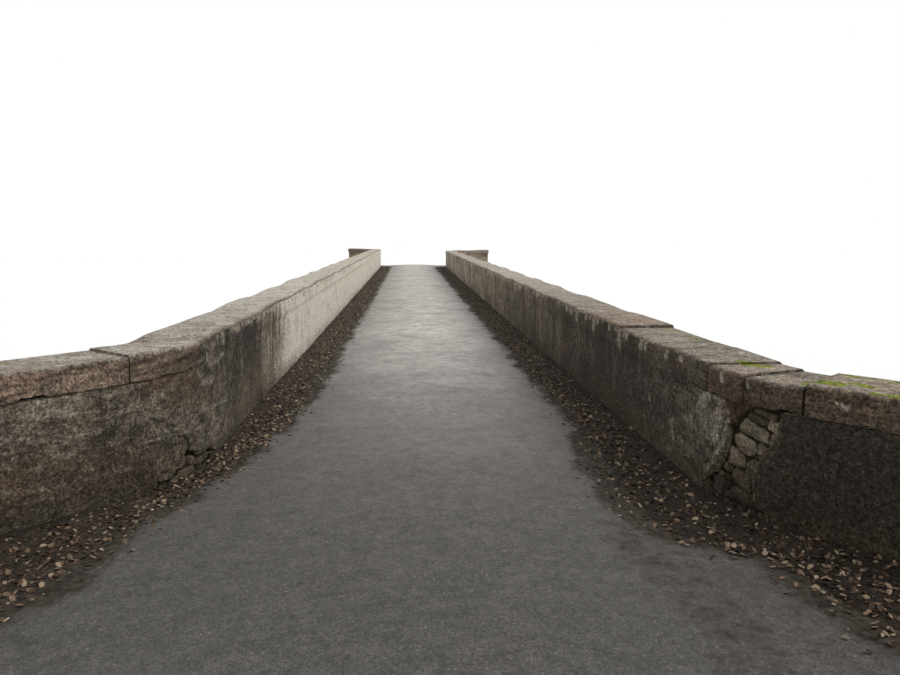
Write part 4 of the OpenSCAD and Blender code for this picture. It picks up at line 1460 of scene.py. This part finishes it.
def vault_stones(bay):
    """Courses of squared stones on the soffit of one vault"""
    rng = draws("vaults", bay)
    pile = StonePile("vault_courses_" + BAY_NAMES[bay])
    turns = voussoir_angles(0.0)
    half = FACE_X + RENDER_THICKNESS - 0.004
    for a, b in zip(turns[:-1], turns[1:]):
        ends = [-half]
        while ends[-1] < half - 0.25:
            ends.append(ends[-1] + rng.uniform(*SOFFIT_STONE))
        ends = (np.array(ends) + half) * 2 * half / (ends[-1] + half) - half
        cells = np.array([(x0, x1, 0, (b - a) * ARCH_RADIUS) for x0, x1 in zip(ends[:-1], ends[1:])])
        outlines = stone_outlines(cells, rng, SOFFIT_GAP, SOFFIT_JITTER, SOFFIT_CHAMFER)
        turn = a + outlines[..., 1] / ARCH_RADIUS
        y, z = ARCH_RADIUS * np.sin(turn), ARCH_CENTRE_Z + ARCH_RADIUS * np.cos(turn)
        space = np.stack([outlines[..., 0], bay * BAY + y, z], -1)
        middle = (a + b) / 2
        pile.add(space, (0.0, -math.sin(middle), -math.cos(middle)), SOFFIT_PROUD, rng)
    pile.build()


def ashlar(pile, corners, rows, parts, rng, proud=ASHLAR_PROUD):
    """Squared stones on a four-cornered or three-cornered face, from its foot up"""
    low_left, low_right, high_right, high_left = (np.array(c, float) for c in corners)
    normal = np.cross(low_right - low_left, high_left - low_left)
    normal = normal / np.linalg.norm(normal)

    def spot(u, v):
        return (low_left * (1 - u) + low_right * u) * (1 - v) + (high_left * (1 - u) + high_right * u) * v

    width = max(np.linalg.norm(low_right - low_left), 1e-6)
    height = max(np.linalg.norm(high_left - low_left), 1e-6)
    cells = []
    for row in range(rows):
        v0, v1 = row / rows, (row + 1) / rows
        wide = np.linalg.norm(spot(1, (v0 + v1) / 2) - spot(0, (v0 + v1) / 2))
        count = max(1, round(parts * wide / width))
        shift = ASHLAR_SHIFT if row % 2 else -ASHLAR_SHIFT
        cuts = (np.arange(1, count) + rng.uniform(-0.16, 0.16, count - 1) + shift) / count
        cuts = np.concatenate([[0], np.clip(cuts, 0.05, 0.95), [1]]) * width
        cells += [(u0, u1, v0 * height, v1 * height) for u0, u1 in zip(cuts[:-1], cuts[1:])]
    outlines = stone_outlines(np.array(cells), rng, ASHLAR_GAP, ASHLAR_JITTER, ASHLAR_CHAMFER)
    space = spot(outlines[..., :1] / width, outlines[..., 1:] / height)
    pile.add(space, normal, proud, rng)


def cutwater_face(side, turn, middle, low, high):
    """Corners of one face of a cutwater; low and high say how far out, how far aside and how high"""
    corners = []
    for out, aside, z in (low, high):
        corners.append([(side * OUTER_X, middle + turn * aside, z), (side * out, middle, z)])
    (root, tip), (high_root, high_tip) = corners
    return [tip, root, high_root, high_tip] if side * turn > 0 else [root, tip, high_tip, high_root]


def cutwater_stones(end):
    """Squared stones of the cutwaters and of the sloping caps of one pier"""
    rng = draws("cutwaters", end)
    pile = StonePile("cutwater_stones_" + END_NAMES[end], "dressed_stone", "dressed")
    middle = end * PIER_Y
    shaft = ((CUTWATER_TIP_X, HALF_PIER, PLINTH_Z), (CUTWATER_TIP_X, HALF_PIER, CUTWATER_TOP_Z))
    slope = ((CAP_HIGH.x, CAP_HIGH.y - PIER_Y, CUTWATER_TOP_Z + CAP_EDGE), (OUTER_X, 0, CAP_HIGH.z))
    for side in (LEFT, RIGHT):
        for turn in (-1, 1):
            ashlar(pile, cutwater_face(side, turn, middle, *shaft), 7, 3, rng)
            ashlar(pile, cutwater_face(side, turn, middle, *slope), 3, 2, rng, CAP_PROUD)
    pile.build()


# Stones bared where the render is lost
RECESS_PITCH = 0.010
RECESS_DEPTH = RENDER_THICKNESS + WASHED_OUT
UNDERCOAT_DEPTH = 0.018
BARED_PROUD = {LEFT: 0.050, RIGHT: 0.044}
SMALL_COURSE = (0.045, 0.085)
SMALL_LENGTH = (0.07, 0.17)
SMALL_PROUD = (0.018, 0.034)

# Outline of what is left of the coat under the render, from the splay and the margin
UNDERCOAT = {
    LEFT: (
        (-0.72, 0.08), (-0.72, 0.42), (-0.40, 0.42), (-0.33, 0.30), (-0.29, 0.22), (-0.33, 0.14),
        (-0.40, 0.10), (-0.46, 0.045), (-0.56, 0.035),
    ),
    RIGHT: (
        (-0.20, 0.50), (-0.31, 0.52), (-0.35, 0.60), (-0.42, 0.63), (-0.44, 0.67), (-0.50, 0.70),
        (-0.20, 0.72),
    ),
}

# Bared stones: middle along the wall and up from the margin, width, height, turn in degrees and tone
BARED = {
    LEFT: (
        (-0.55, 0.250, 0.19, 0.080, 2, 0.55), (-0.37, 0.235, 0.13, 0.060, -5, 0.65),
        (-0.53, 0.120, 0.15, 0.070, -3, 0.45), (-0.36, 0.110, 0.16, 0.080, 4, 0.60),
        (-0.22, 0.095, 0.11, 0.070, 6, 0.30), (-0.08, 0.050, 0.15, 0.050, -3, 0.22),
        (0.08, 0.030, 0.12, 0.050, 3, 0.20), (-0.27, 0.025, 0.18, 0.060, 0, 0.35),
        (0.22, 0.020, 0.13, 0.040, 2, 0.20),
    ),
    RIGHT: (
        (-0.52, 0.655, 0.19, 0.055, 8, 0.34), (-0.47, 0.600, 0.17, 0.060, 10, 0.24),
        (-0.44, 0.520, 0.23, 0.095, 12, 0.78), (-0.375, 0.425, 0.20, 0.120, 13, 0.92),
        (-0.305, 0.318, 0.16, 0.125, 14, 0.84), (-0.475, 0.290, 0.15, 0.110, 8, 0.46),
        (-0.585, 0.575, 0.10, 0.075, 12, 0.86), (-0.60, 0.490, 0.08, 0.095, 10, 0.58),
        (-0.51, 0.420, 0.07, 0.075, 10, 0.70), (-0.37, 0.195, 0.20, 0.095, 12, 0.36),
        (-0.24, 0.235, 0.09, 0.060, 14, 0.30), (-0.37, 0.090, 0.20, 0.100, 12, 0.18),
        (-0.52, 0.185, 0.08, 0.085, 12, 0.22), (-0.17, 0.120, 0.13, 0.070, 10, 0.16),
        (-0.52, 0.085, 0.10, 0.100, 10, 0.12),
    ),
}


def recess(side):
    """Rough back of the lost render of one side, painted dark as shade, and what is left of the coat under it
    """
    line = LINES[side]
    hole = hole_of(side)
    low, high = frame_round(hole, side)
    counts = np.ceil((high - low) / RECESS_PITCH).astype(int) + 1
    s, h = np.meshgrid(*(np.linspace(low[i], high[i], counts[i]) for i in range(2)), indexing="ij")
    spots = np.stack([s.ravel(), h.ravel()], -1)
    space = line.place(spots[:, 0], 0, spots[:, 1])
    places = np.stack([line.from_near(spots[:, 0]), spots[:, 1] - MARGIN_Z], -1)
    distance, _ = to_outline(places, np.array(UNDERCOAT[side]))
    under = 1 - step(distance + 0.016 * NOISE.smooth(space, 0.05), -0.014, 0.014)
    depth = (RECESS_DEPTH - 0.004) * (1 - under) + UNDERCOAT_DEPTH * under
    depth = depth - 0.004 - (0.006 + 0.004 * (side == LEFT) * under) * NOISE.rough(space, 0.07, 4)
    faces = grid_faces(*s.shape, flip=side == LEFT)
    outside, _ = to_outline(spots[faces].mean(1), hole)
    piece("recess_" + SIDE_NAMES[side], line.place(spots[:, 0], depth, spots[:, 1]), faces[outside < 0.012],
          LOOKS["recess_" + SIDE_NAMES[side]], {"under": under})


def bared_stones(side):
    """Stones behind the lost render of one side: the large ones that show, and small ones between"""
    rng = draws("bared", side)
    look = "bared" if side == RIGHT else "undercut"
    pile = StonePile("bared_stones_" + SIDE_NAMES[side], "rubble_stone", look)
    line = LINES[side]
    hole = hole_of(side)

    def lay(outlines, proud, tones):
        space = line.place(outlines[..., 0], RECESS_DEPTH, outlines[..., 1])
        middle = outlines.mean(1)
        normals = line.place(middle[:, 0], RECESS_DEPTH - 1, middle[:, 1])
        normals = normals - line.place(middle[:, 0], RECESS_DEPTH, middle[:, 1])
        pile.add(space, normals, proud, rng, sunk=0.2, tones=tones)

    big = np.array(BARED[side])
    middles = big[:, :2] + (line.straight[NEAR], MARGIN_Z)
    half = big[:, 2:4] / 2
    cells = np.stack([-half[:, 0], half[:, 0], -half[:, 1], half[:, 1]], -1)
    shapes = stone_outlines(cells, rng, 0.004, 0.012, (0.10, 0.42))
    shapes = np.stack(turned(shapes, np.radians(big[:, 4])), -1)
    lay(shapes + middles[:, None, :], BARED_PROUD[side], big[:, 5])

    low, high = frame_round(hole, side)
    small = courses(*(high - low), rng, course=SMALL_COURSE, length=SMALL_LENGTH)
    outlines = stone_outlines(small, rng, 0.010, 0.008, (0.16, 0.36)) + low
    middle = outlines.mean(1)
    distance, _ = to_outline(middle, hole)
    away = np.abs(middle[:, None, :] - middles[None]) - half[None]
    clear = (away.max(2) > 0.012).all(1) & (distance < 0.015)
    covered_by, _ = to_outline(middle - (line.straight[NEAR], MARGIN_Z), np.array(UNDERCOAT[side]))
    clear &= covered_by > 0.02
    outlines = outlines[clear]
    lay(outlines, rng.uniform(*SMALL_PROUD, len(outlines)), rng.uniform(0.0, 0.45, len(outlines)))
    pile.build(crease=45)


# Road surface
HALF_CROWN = FACE_X - MARGIN_WIDTH
CAMBER = CROWN_Z - ROAD_Z
TRACK_X = 0.74
TRACK_HALF_WIDTH = 0.35
TRACK_DEPTH = 0.006
OLD_SUNK = 0.006
TARMAC_COLUMNS = 71
SHORT_OF_END = 0.004

# Edge of the older tarmac, as distances from the near end and from the centre line
OLD_SEAM = (
    (0.0, 0.26, 0.41, 0.60, 0.92, 1.12, 1.40, 1.75),
    (1.28, 1.30, 1.32, 1.31, 1.29, 1.27, 1.24, 1.20),
)

# Width of the earth, as distances from the start of the near splay and widths
VERGE_WIDTH = {
    LEFT: (
        (-3.0, -1.8, -1.5, -1.1, -0.75, -0.45, -0.1, 0.4, 1.1, 1.9, 4.6, 40.0),
        (0.95, 0.80, 0.64, 0.45, 0.24, 0.15, 0.16, 0.24, 0.35, 0.40, 0.44, 0.46),
    ),
    RIGHT: (
        (-3.0, -1.6, -1.4, -1.23, -1.03, -0.80, -0.64, -0.52, -0.42, -0.2, 0.3, 1.0, 1.6, 2.2, 4.0, 40.0),
        (0.86, 0.80, 0.75, 0.64, 0.50, 0.40, 0.43, 0.56, 0.66, 0.62, 0.60, 0.50, 0.40, 0.38, 0.42, 0.46),
    ),
}
UNDER_VERGE = 0.08
INTO_FACE = 0.006
VERGE_COLUMNS = 26
VERGE_FADES = (0.72, 1.0)
VERGE_DIP = 0.015

# Dampness of the earth, which is also painted shade, most of it on the right, by distance from the start of
# the near splay
DAMP_EARTH_AND_PAINTED_SHADE = {
    LEFT: ((-1.5, 1.0, 6.0), (0.45, 0.35, 0.15)),
    RIGHT: ((-1.5, 1.5, 7.0), (0.80, 0.64, 0.25)),
}


def edge_at(side, y, widths, samples):
    """Distance from the centre line to an edge at widths out from the face, on one side"""
    line = LINES[side]
    run = np.linspace(line.ends[NEAR] - 1.0, line.ends[FAR] + 1.0, samples)
    edge = line.place(run, -np.interp(line.from_near(run), *widths), 0)
    order = np.argsort(edge[:, 1])
    return np.interp(y, edge[order, 1], np.abs(edge[order, 0]))


def road_height(x):
    """Height of the crowned road at a distance from the centre line"""
    return ROAD_Z + CAMBER * np.clip(1 - (x / HALF_CROWN) ** 2, 0, 1)


def tarmac():
    """Tarmac with its camber, worn tracks and an older patch at the near right"""
    stations = graded(SHORT_OF_END - END_Y, END_Y - SHORT_OF_END, *TARMAC_GRADE)
    y, u = np.meshgrid(stations, np.linspace(0, 1, TARMAC_COLUMNS), indexing="ij")
    left, right = (edge_at(side, stations, ((0.0,), (UNDER_VERGE,)), 2000)[:, None] for side in (LEFT, RIGHT))
    x = -left + u * (left + right)
    space = np.stack([x, y, x * 0], -1)
    tracks = bell(np.abs(x), TRACK_X, TRACK_HALF_WIDTH)
    swell = 0.0050 * NOISE.rough(space, 1.6, 3) + 0.0020 * OTHER_NOISE.rough(space, 0.16, 3)
    from_end = y + END_Y
    seam = np.interp(from_end, *OLD_SEAM) + 0.04 * NOISE.smooth(space, 0.35)
    fade = 1 - step(from_end, OLD_SEAM[0][-1] - 0.3, OLD_SEAM[0][-1])
    older = step(x - seam, 0.0, 0.025) * fade
    joint = bell(x, seam, 0.030) * fade
    z = road_height(x) - TRACK_DEPTH * tracks + swell - OLD_SUNK * older - OLD_SUNK * joint
    points, faces, used = with_underside(np.stack([x, y, z], -1).reshape(-1, 3), *x.shape)
    shown = {side: edge_at(side, stations, VERGE_WIDTH[side], 3000)[:, None] for side in (LEFT, RIGHT)}
    from_edge = np.minimum(x + shown[LEFT], shown[RIGHT] - x)
    # Wear across the tracks, rising with the distance from the near end: painted sunlight on the far road as
    # well as wear
    worn = (0.45 + 0.55 * bell(np.abs(x), 0.1, 1.3)) * step(from_end, 0.5, 11.0)
    darkening = 1 - step(from_edge + 0.09 * NOISE.rough(space, 0.35, 3), 0.0, 0.27)
    darkening = np.maximum(darkening, 0.52 * bell(x - seam, -0.16, 0.42) * (1 - step(from_end, 1.5, 2.3)))
    values = {"worn": worn, "older": older, "seam": joint, "darkening": np.clip(darkening, 0, 1)}
    for key, numbers in values.items():
        values[key] = np.concatenate([numbers.ravel(), numbers.ravel()[used]])
    piece("worn_tarmac", points, faces, LOOKS["tarmac"], values, replaces=("carriageway",))


def verge_height(side, along, out):
    """Height of the earth at a distance out from the rendered face"""
    line = LINES[side]
    space = line.place(along, -out, 0)
    lumps = 0.010 * NOISE.rough(space, 0.16, 4) + 0.006 * OTHER_NOISE.rough(space, 0.05, 2)
    bank = 0.022 * (1 - step(out, 0.0, 0.30))
    return MARGIN_Z + bank + lumps - 0.006


def verge_width(side, along):
    """Width of the earth, which spreads raggedly over the tarmac"""
    line = LINES[side]
    space = line.place(along, 0, 0)
    ragged = 0.040 * NOISE.rough(space, 0.9, 3) + 0.030 * OTHER_NOISE.rough(space, 0.16, 3)
    width = np.interp(line.from_near(along), *VERGE_WIDTH[side])
    return np.maximum(width + ragged * np.minimum(width / MARGIN_WIDTH, 1), UNDER_VERGE + 0.02)


def verge(side):
    """Earth beside the tarmac"""
    line = LINES[side]
    along = graded(line.ends[NEAR], line.ends[FAR], *VERGE_GRADE)
    s, t = np.meshgrid(along, np.linspace(0, 1, VERGE_COLUMNS), indexing="ij")
    width = verge_width(side, s)
    out = -INTO_FACE + t * (width + INTO_FACE)
    for end in (NEAR, FAR):
        missing = end * out * math.tan(SPLAY_ANGLE)
        s = s - missing * (1 - step(np.abs(s - line.ends[end]), 0.0, 1.2))
    fade = step(t, *VERGE_FADES)
    space = line.place(s, -out, 0)
    z = verge_height(side, s, out) * (1 - fade) + (road_height(space[..., 0]) - VERGE_DIP) * fade
    top = line.place(s, -out, z).reshape(-1, 3)
    points, faces, used = with_underside(top, *s.shape, flip=side == RIGHT)
    # Damp earth, darkest on the right and at the wall's foot, which is partly painted shade
    damp_and_painted_shade = np.interp(line.from_near(s), *DAMP_EARTH_AND_PAINTED_SHADE[side]) + 0.25 * (1 - step(out, 0.0, 0.15))
    damp_and_painted_shade = np.clip(damp_and_painted_shade + 0.25 * NOISE.smooth(space, 0.3), 0, 0.9).ravel()
    piece("verge_" + SIDE_NAMES[side], points, faces, LOOKS["earth"],
          {"damp_and_painted_shade": np.concatenate([damp_and_painted_shade, damp_and_painted_shade[used]])}, replaces=("margin_" + SIDE_NAMES[side],))


LEAVES = 7600
LEAF_SIZE = (0.008, 0.023)
LEAF_REACH = 0.25
LEAF_LIFT = 0.004
# How far the leaves' tones are pulled dark; the right's stronger pull is painted shade
LEAF_DARK = {LEFT: 1.2, RIGHT: 1.7}
LEAF = np.array([
    (-1.0, 0.0, 0.10), (-0.35, -0.62, 0.22), (0.45, -0.50, 0.20), (1.0, 0.0, 0.05),
    (0.45, 0.50, 0.26), (-0.35, 0.62, 0.18), (0.0, 0.0, 0.0),
])
LEAF_FACES = np.array([(i, (i + 1) % 6, 6) for i in range(6)])

# Pebbles are icosahedra, flattened a little
PEBBLES = 1200
PEBBLE_SIZE = (0.004, 0.013)
PEBBLE_REACH = 0.30
PEBBLE_LIFT = 0.003
PEBBLE_FLATNESS = 0.7
GOLDEN = (1 + 5 ** 0.5) / 2
PEBBLE = np.array([
    (-1, GOLDEN, 0), (1, GOLDEN, 0), (-1, -GOLDEN, 0), (1, -GOLDEN, 0), (0, -1, GOLDEN), (0, 1, GOLDEN),
    (0, -1, -GOLDEN), (0, 1, -GOLDEN), (GOLDEN, 0, -1), (GOLDEN, 0, 1), (-GOLDEN, 0, -1), (-GOLDEN, 0, 1),
]) / math.hypot(1, GOLDEN)
PEBBLE_FACES = np.array([
    (0, 11, 5), (0, 5, 1), (0, 1, 7), (0, 7, 10), (0, 10, 11), (1, 5, 9), (5, 11, 4), (11, 10, 2),
    (10, 7, 6), (7, 1, 8), (3, 9, 4), (3, 4, 2), (3, 2, 6), (3, 6, 8), (3, 8, 9), (4, 9, 5),
    (2, 4, 11), (6, 2, 10), (8, 6, 7), (9, 8, 1),
])


def scatter_on_verge(side, total, rng, reach):
    """Places for small things on the earth and a reach beyond it, more of them near the camera"""
    line = LINES[side]
    near = line.ends[NEAR] + 0.05
    span = line.ends[FAR] - 0.05 - near
    along = near + span * rng.random(total) ** 2.0
    width = verge_width(side, along) + reach * rng.random(total) ** 3
    out = 0.015 + rng.random(total) ** 0.75 * (width - 0.015)
    height = verge_height(side, along, out)
    road = road_height(line.place(along, -out, 0)[:, 0])
    earth_width = verge_width(side, along)
    on_earth = 1 - step(out / earth_width, *VERGE_FADES)
    height = np.where(out > earth_width, road, height * on_earth + road * (1 - on_earth))
    at = line.place(along, -out, height)
    at[:, 1] = np.clip(at[:, 1], -END_Y + 0.03, END_Y - 0.03)
    return at


def scattered(name, points, pattern, tones, look):
    """One small shape at many places, each with its own tone"""
    total, size = points.shape[:2]
    faces = (np.arange(total)[:, None, None] * size + pattern[None]).reshape(-1, 3)
    piece(name, points.reshape(-1, 3), faces, LOOKS[look], {"tone": np.repeat(tones, size)})


def leaves(side):
    """Dead leaves on the earth, each folded along its middle"""
    rng = draws("leaves", side)
    at = scatter_on_verge(side, LEAVES, rng, LEAF_REACH)
    local = LEAF[None] * rng.uniform(*LEAF_SIZE, LEAVES)[:, None, None]
    heading = rng.uniform(0, 2 * math.pi, LEAVES)
    curl = rng.uniform(-0.3, 1.2, LEAVES)
    lean = rng.uniform(-0.6, 0.6, (LEAVES, 2))
    x, y = turned(local, heading)
    z = local[..., 2] * curl[:, None] + x * lean[:, :1] + y * lean[:, 1:] + LEAF_LIFT
    points = at[:, None, :] + np.stack([x, y, z], -1)
    tones = rng.random(LEAVES) ** LEAF_DARK[side]
    scattered("leaf_litter_" + SIDE_NAMES[side], points, LEAF_FACES, tones, "litter")


def pebbles(side):
    """Small stones on the earth and along the tarmac's edge"""
    rng = draws("pebbles", side)
    at = scatter_on_verge(side, PEBBLES, rng, PEBBLE_REACH)
    size = rng.uniform(*PEBBLE_SIZE, (PEBBLES, 1, 1)) * rng.uniform(0.7, 1.3, (PEBBLES, 1, 3))
    local = PEBBLE[None] * size * rng.uniform(0.8, 1.15, (PEBBLES, len(PEBBLE), 1))
    x, y = turned(local, rng.uniform(0, 2 * math.pi, PEBBLES))
    points = at[:, None, :] + np.stack([x, y, local[..., 2] * PEBBLE_FLATNESS + PEBBLE_LIFT], -1)
    scattered("pebbles_" + SIDE_NAMES[side], points, PEBBLE_FACES, rng.random(PEBBLES), "rubble")


# Ends of the fill
# Hollows of the fill's end, as their mean depth and limits, and the stones in it
FILL_HOLLOW = 0.035
FILL_HOLLOWS = (0.006, 0.09)
FILL_GRID = (80, 60)
FILL_PAST_EDGE = 0.05
FILL_STONE_INSET = 0.1
FILL_STONE_SHARE = 0.42
FILL_STONE_BACK = 0.045
FILL_STONE_PROUD = 0.040


def fill_end(end):
    """Rough end of the fill between the wing walls, with stones in it"""
    rng = draws("fill", end)
    half = {
        side: abs(LINES[side].place(LINES[side].ends[end], RENDER_THICKNESS, 0)[0]) + FILL_PAST_EDGE
        for side in (LEFT, RIGHT)
    }
    u, v = np.meshgrid(*(np.linspace(0, 1, count) for count in FILL_GRID), indexing="ij")
    x = -half[LEFT] + u * (half[LEFT] + half[RIGHT])
    front = np.stack([x, x * 0 + end * END_Y, v * FORMATION_Z], -1)
    hollow = FILL_HOLLOW + 0.018 * NOISE.rough(front, 0.7, 5) + 0.010 * OTHER_NOISE.rough(front, 0.12, 2)
    front[..., 1] = end * (END_Y - np.clip(hollow, *FILL_HOLLOWS))
    front = front.reshape(-1, 3)
    narrow = (FACE_X + RENDER_THICKNESS) / np.where(front[:, 0] < 0, half[LEFT], half[RIGHT])
    starts = [LINES[side].straight[end] for side in (LEFT, RIGHT)]
    back_y = np.interp(front[:, 0], (-half[LEFT], half[RIGHT]), starts)
    moved = np.stack([front[:, 0] * narrow, back_y, front[:, 2]], -1)
    points, faces, _ = with_underside(front, *FILL_GRID, moved=moved, flip=end == FAR)
    piece("fill_end_" + END_NAMES[end], points, faces, LOOKS["fill"], replaces=("road_fill",))
    pile = StonePile("stones_in_fill_" + END_NAMES[end], "fill")
    width = half[LEFT] + half[RIGHT] - 2 * FILL_STONE_INSET
    cells = courses(width, FORMATION_Z, rng, course=(0.14, 0.30), length=(0.14, 0.50))
    cells = cells[rng.random(len(cells)) < FILL_STONE_SHARE]
    outlines = stone_outlines(cells, rng, 0.03, 0.02, (0.15, 0.35))
    middle = outlines.mean(1, keepdims=True)
    turns = rng.uniform(-0.5, 0.5, len(outlines))
    away = (outlines - middle) * rng.uniform(0.6, 1.1, (len(outlines), 1, 1))
    outlines = keep_within(middle + np.stack(turned(away, turns), -1), width, FORMATION_Z)
    space = np.stack([
        outlines[..., 0] - half[LEFT] + FILL_STONE_INSET,
        np.full(outlines.shape[:2], end * (END_Y - FILL_STONE_BACK)), outlines[..., 1],
    ], -1)
    pile.add(space, (0, end, 0), FILL_STONE_PROUD, rng, sunk=0.8)
    pile.build()


# Everything that belongs to the bridge
node_slots = {part["node"]: part["material_slot"] for part in frame["record"]["subparts"]}
for name, thing in frame["nodes"].items():
    thing.data.materials.clear()
    thing.data.materials.append(LOOKS[CAD_LOOKS[node_slots[name]]])

for side in (LEFT, RIGHT):
    render_coat(side)
    coping(side)
    side_rubble(side)
    recess(side)
    bared_stones(side)
    verge(side)
    leaves(side)
    pebbles(side)
    for end in (NEAR, FAR):
        wing_rubble(side, end)
    for bay in BAY_NAMES:
        face_rings(bay, side)
for end in (NEAR, FAR):
    abutment_rubble(end)
    pier_rubble(end)
    cutwater_stones(end)
    fill_end(end)
for bay in BAY_NAMES:
    vault_stones(bay)
tarmac()


# Floor, light and camera
FLOOR_REACH = 160.0
FLOOR_COLOUR = (0.94, 0.94, 0.935, 1.0)
WHITE = (1.0, 1.0, 1.0, 1.0)
CLIP_END = 500.0


def floor():
    """Pale floor that keeps the bridge's shadow"""
    mesh = bpy.data.meshes.new("floor")
    corners = [(x * FLOOR_REACH, y * FLOOR_REACH, 0) for x, y in ((-1, -1), (1, -1), (1, 1), (-1, 1))]
    mesh.from_pydata(corners, [], [(0, 1, 2, 3)])
    thing = bpy.data.objects.new("floor", mesh)
    bpy.context.scene.collection.objects.link(thing)
    look = Look("pale_floor", 1.0)
    look.shader.inputs["Base Color"].default_value = FLOOR_COLOUR
    mesh.materials.append(look.material)


def sky(strength):
    """Even white light: at a strength on the bridge, and plain white where the camera sees it"""
    world = bpy.data.worlds.new("even_light")
    bpy.context.scene.world = world
    world.use_nodes = True
    nodes, links = world.node_tree.nodes, world.node_tree.links
    nodes.clear()
    output = nodes.new("ShaderNodeOutputWorld")
    mix = nodes.new("ShaderNodeMixShader")
    path = nodes.new("ShaderNodeLightPath")
    for place, power in ((1, strength), (2, 1.0)):
        light = nodes.new("ShaderNodeBackground")
        light.inputs["Color"].default_value = WHITE
        light.inputs["Strength"].default_value = power
        links.new(light.outputs["Background"], mix.inputs[place])
    share = path.outputs["Is Camera Ray"]
    for kind in ("Is Glossy Ray", "Is Transmission Ray"):
        most = nodes.new("ShaderNodeMath")
        most.operation = "MAXIMUM"
        links.new(share, most.inputs[0])
        links.new(path.outputs[kind], most.inputs[1])
        share = most.outputs["Value"]
    links.new(share, mix.inputs["Fac"])
    links.new(mix.outputs["Shader"], output.inputs["Surface"])


def sun(strength, spread, elevation, azimuth):
    """Soft light from the right, as in the photograph"""
    lamp = bpy.data.lights.new("soft_sun", "SUN")
    lamp.energy = strength
    lamp.angle = math.radians(spread)
    thing = bpy.data.objects.new("soft_sun", lamp)
    bpy.context.scene.collection.objects.link(thing)
    up, round_z = math.radians(elevation), math.radians(azimuth)
    away = Vector((math.cos(up) * math.cos(round_z), math.cos(up) * math.sin(round_z), math.sin(up)))
    thing.rotation_euler = away.to_track_quat("Z", "Y").to_euler()


def camera():
    """Camera at the photograph's place and angle"""
    lens = bpy.data.cameras.new("camera")
    lens.lens = CAMERA_LENS
    lens.sensor_width = CAMERA_SENSOR
    lens.clip_end = CLIP_END
    thing = bpy.data.objects.new("camera", lens)
    bpy.context.scene.collection.objects.link(thing)
    thing.location = CAMERA_AT
    thing.rotation_euler = (math.pi / 2 - CAMERA_PITCH, 0.0, -CAMERA_YAW)
    bpy.context.scene.camera = thing


floor()
sky(strength=0.75)
sun(strength=1.3, spread=20.0, elevation=50.0, azimuth=-20.0)
camera()
bpy.context.scene.view_settings.view_transform = "Standard"
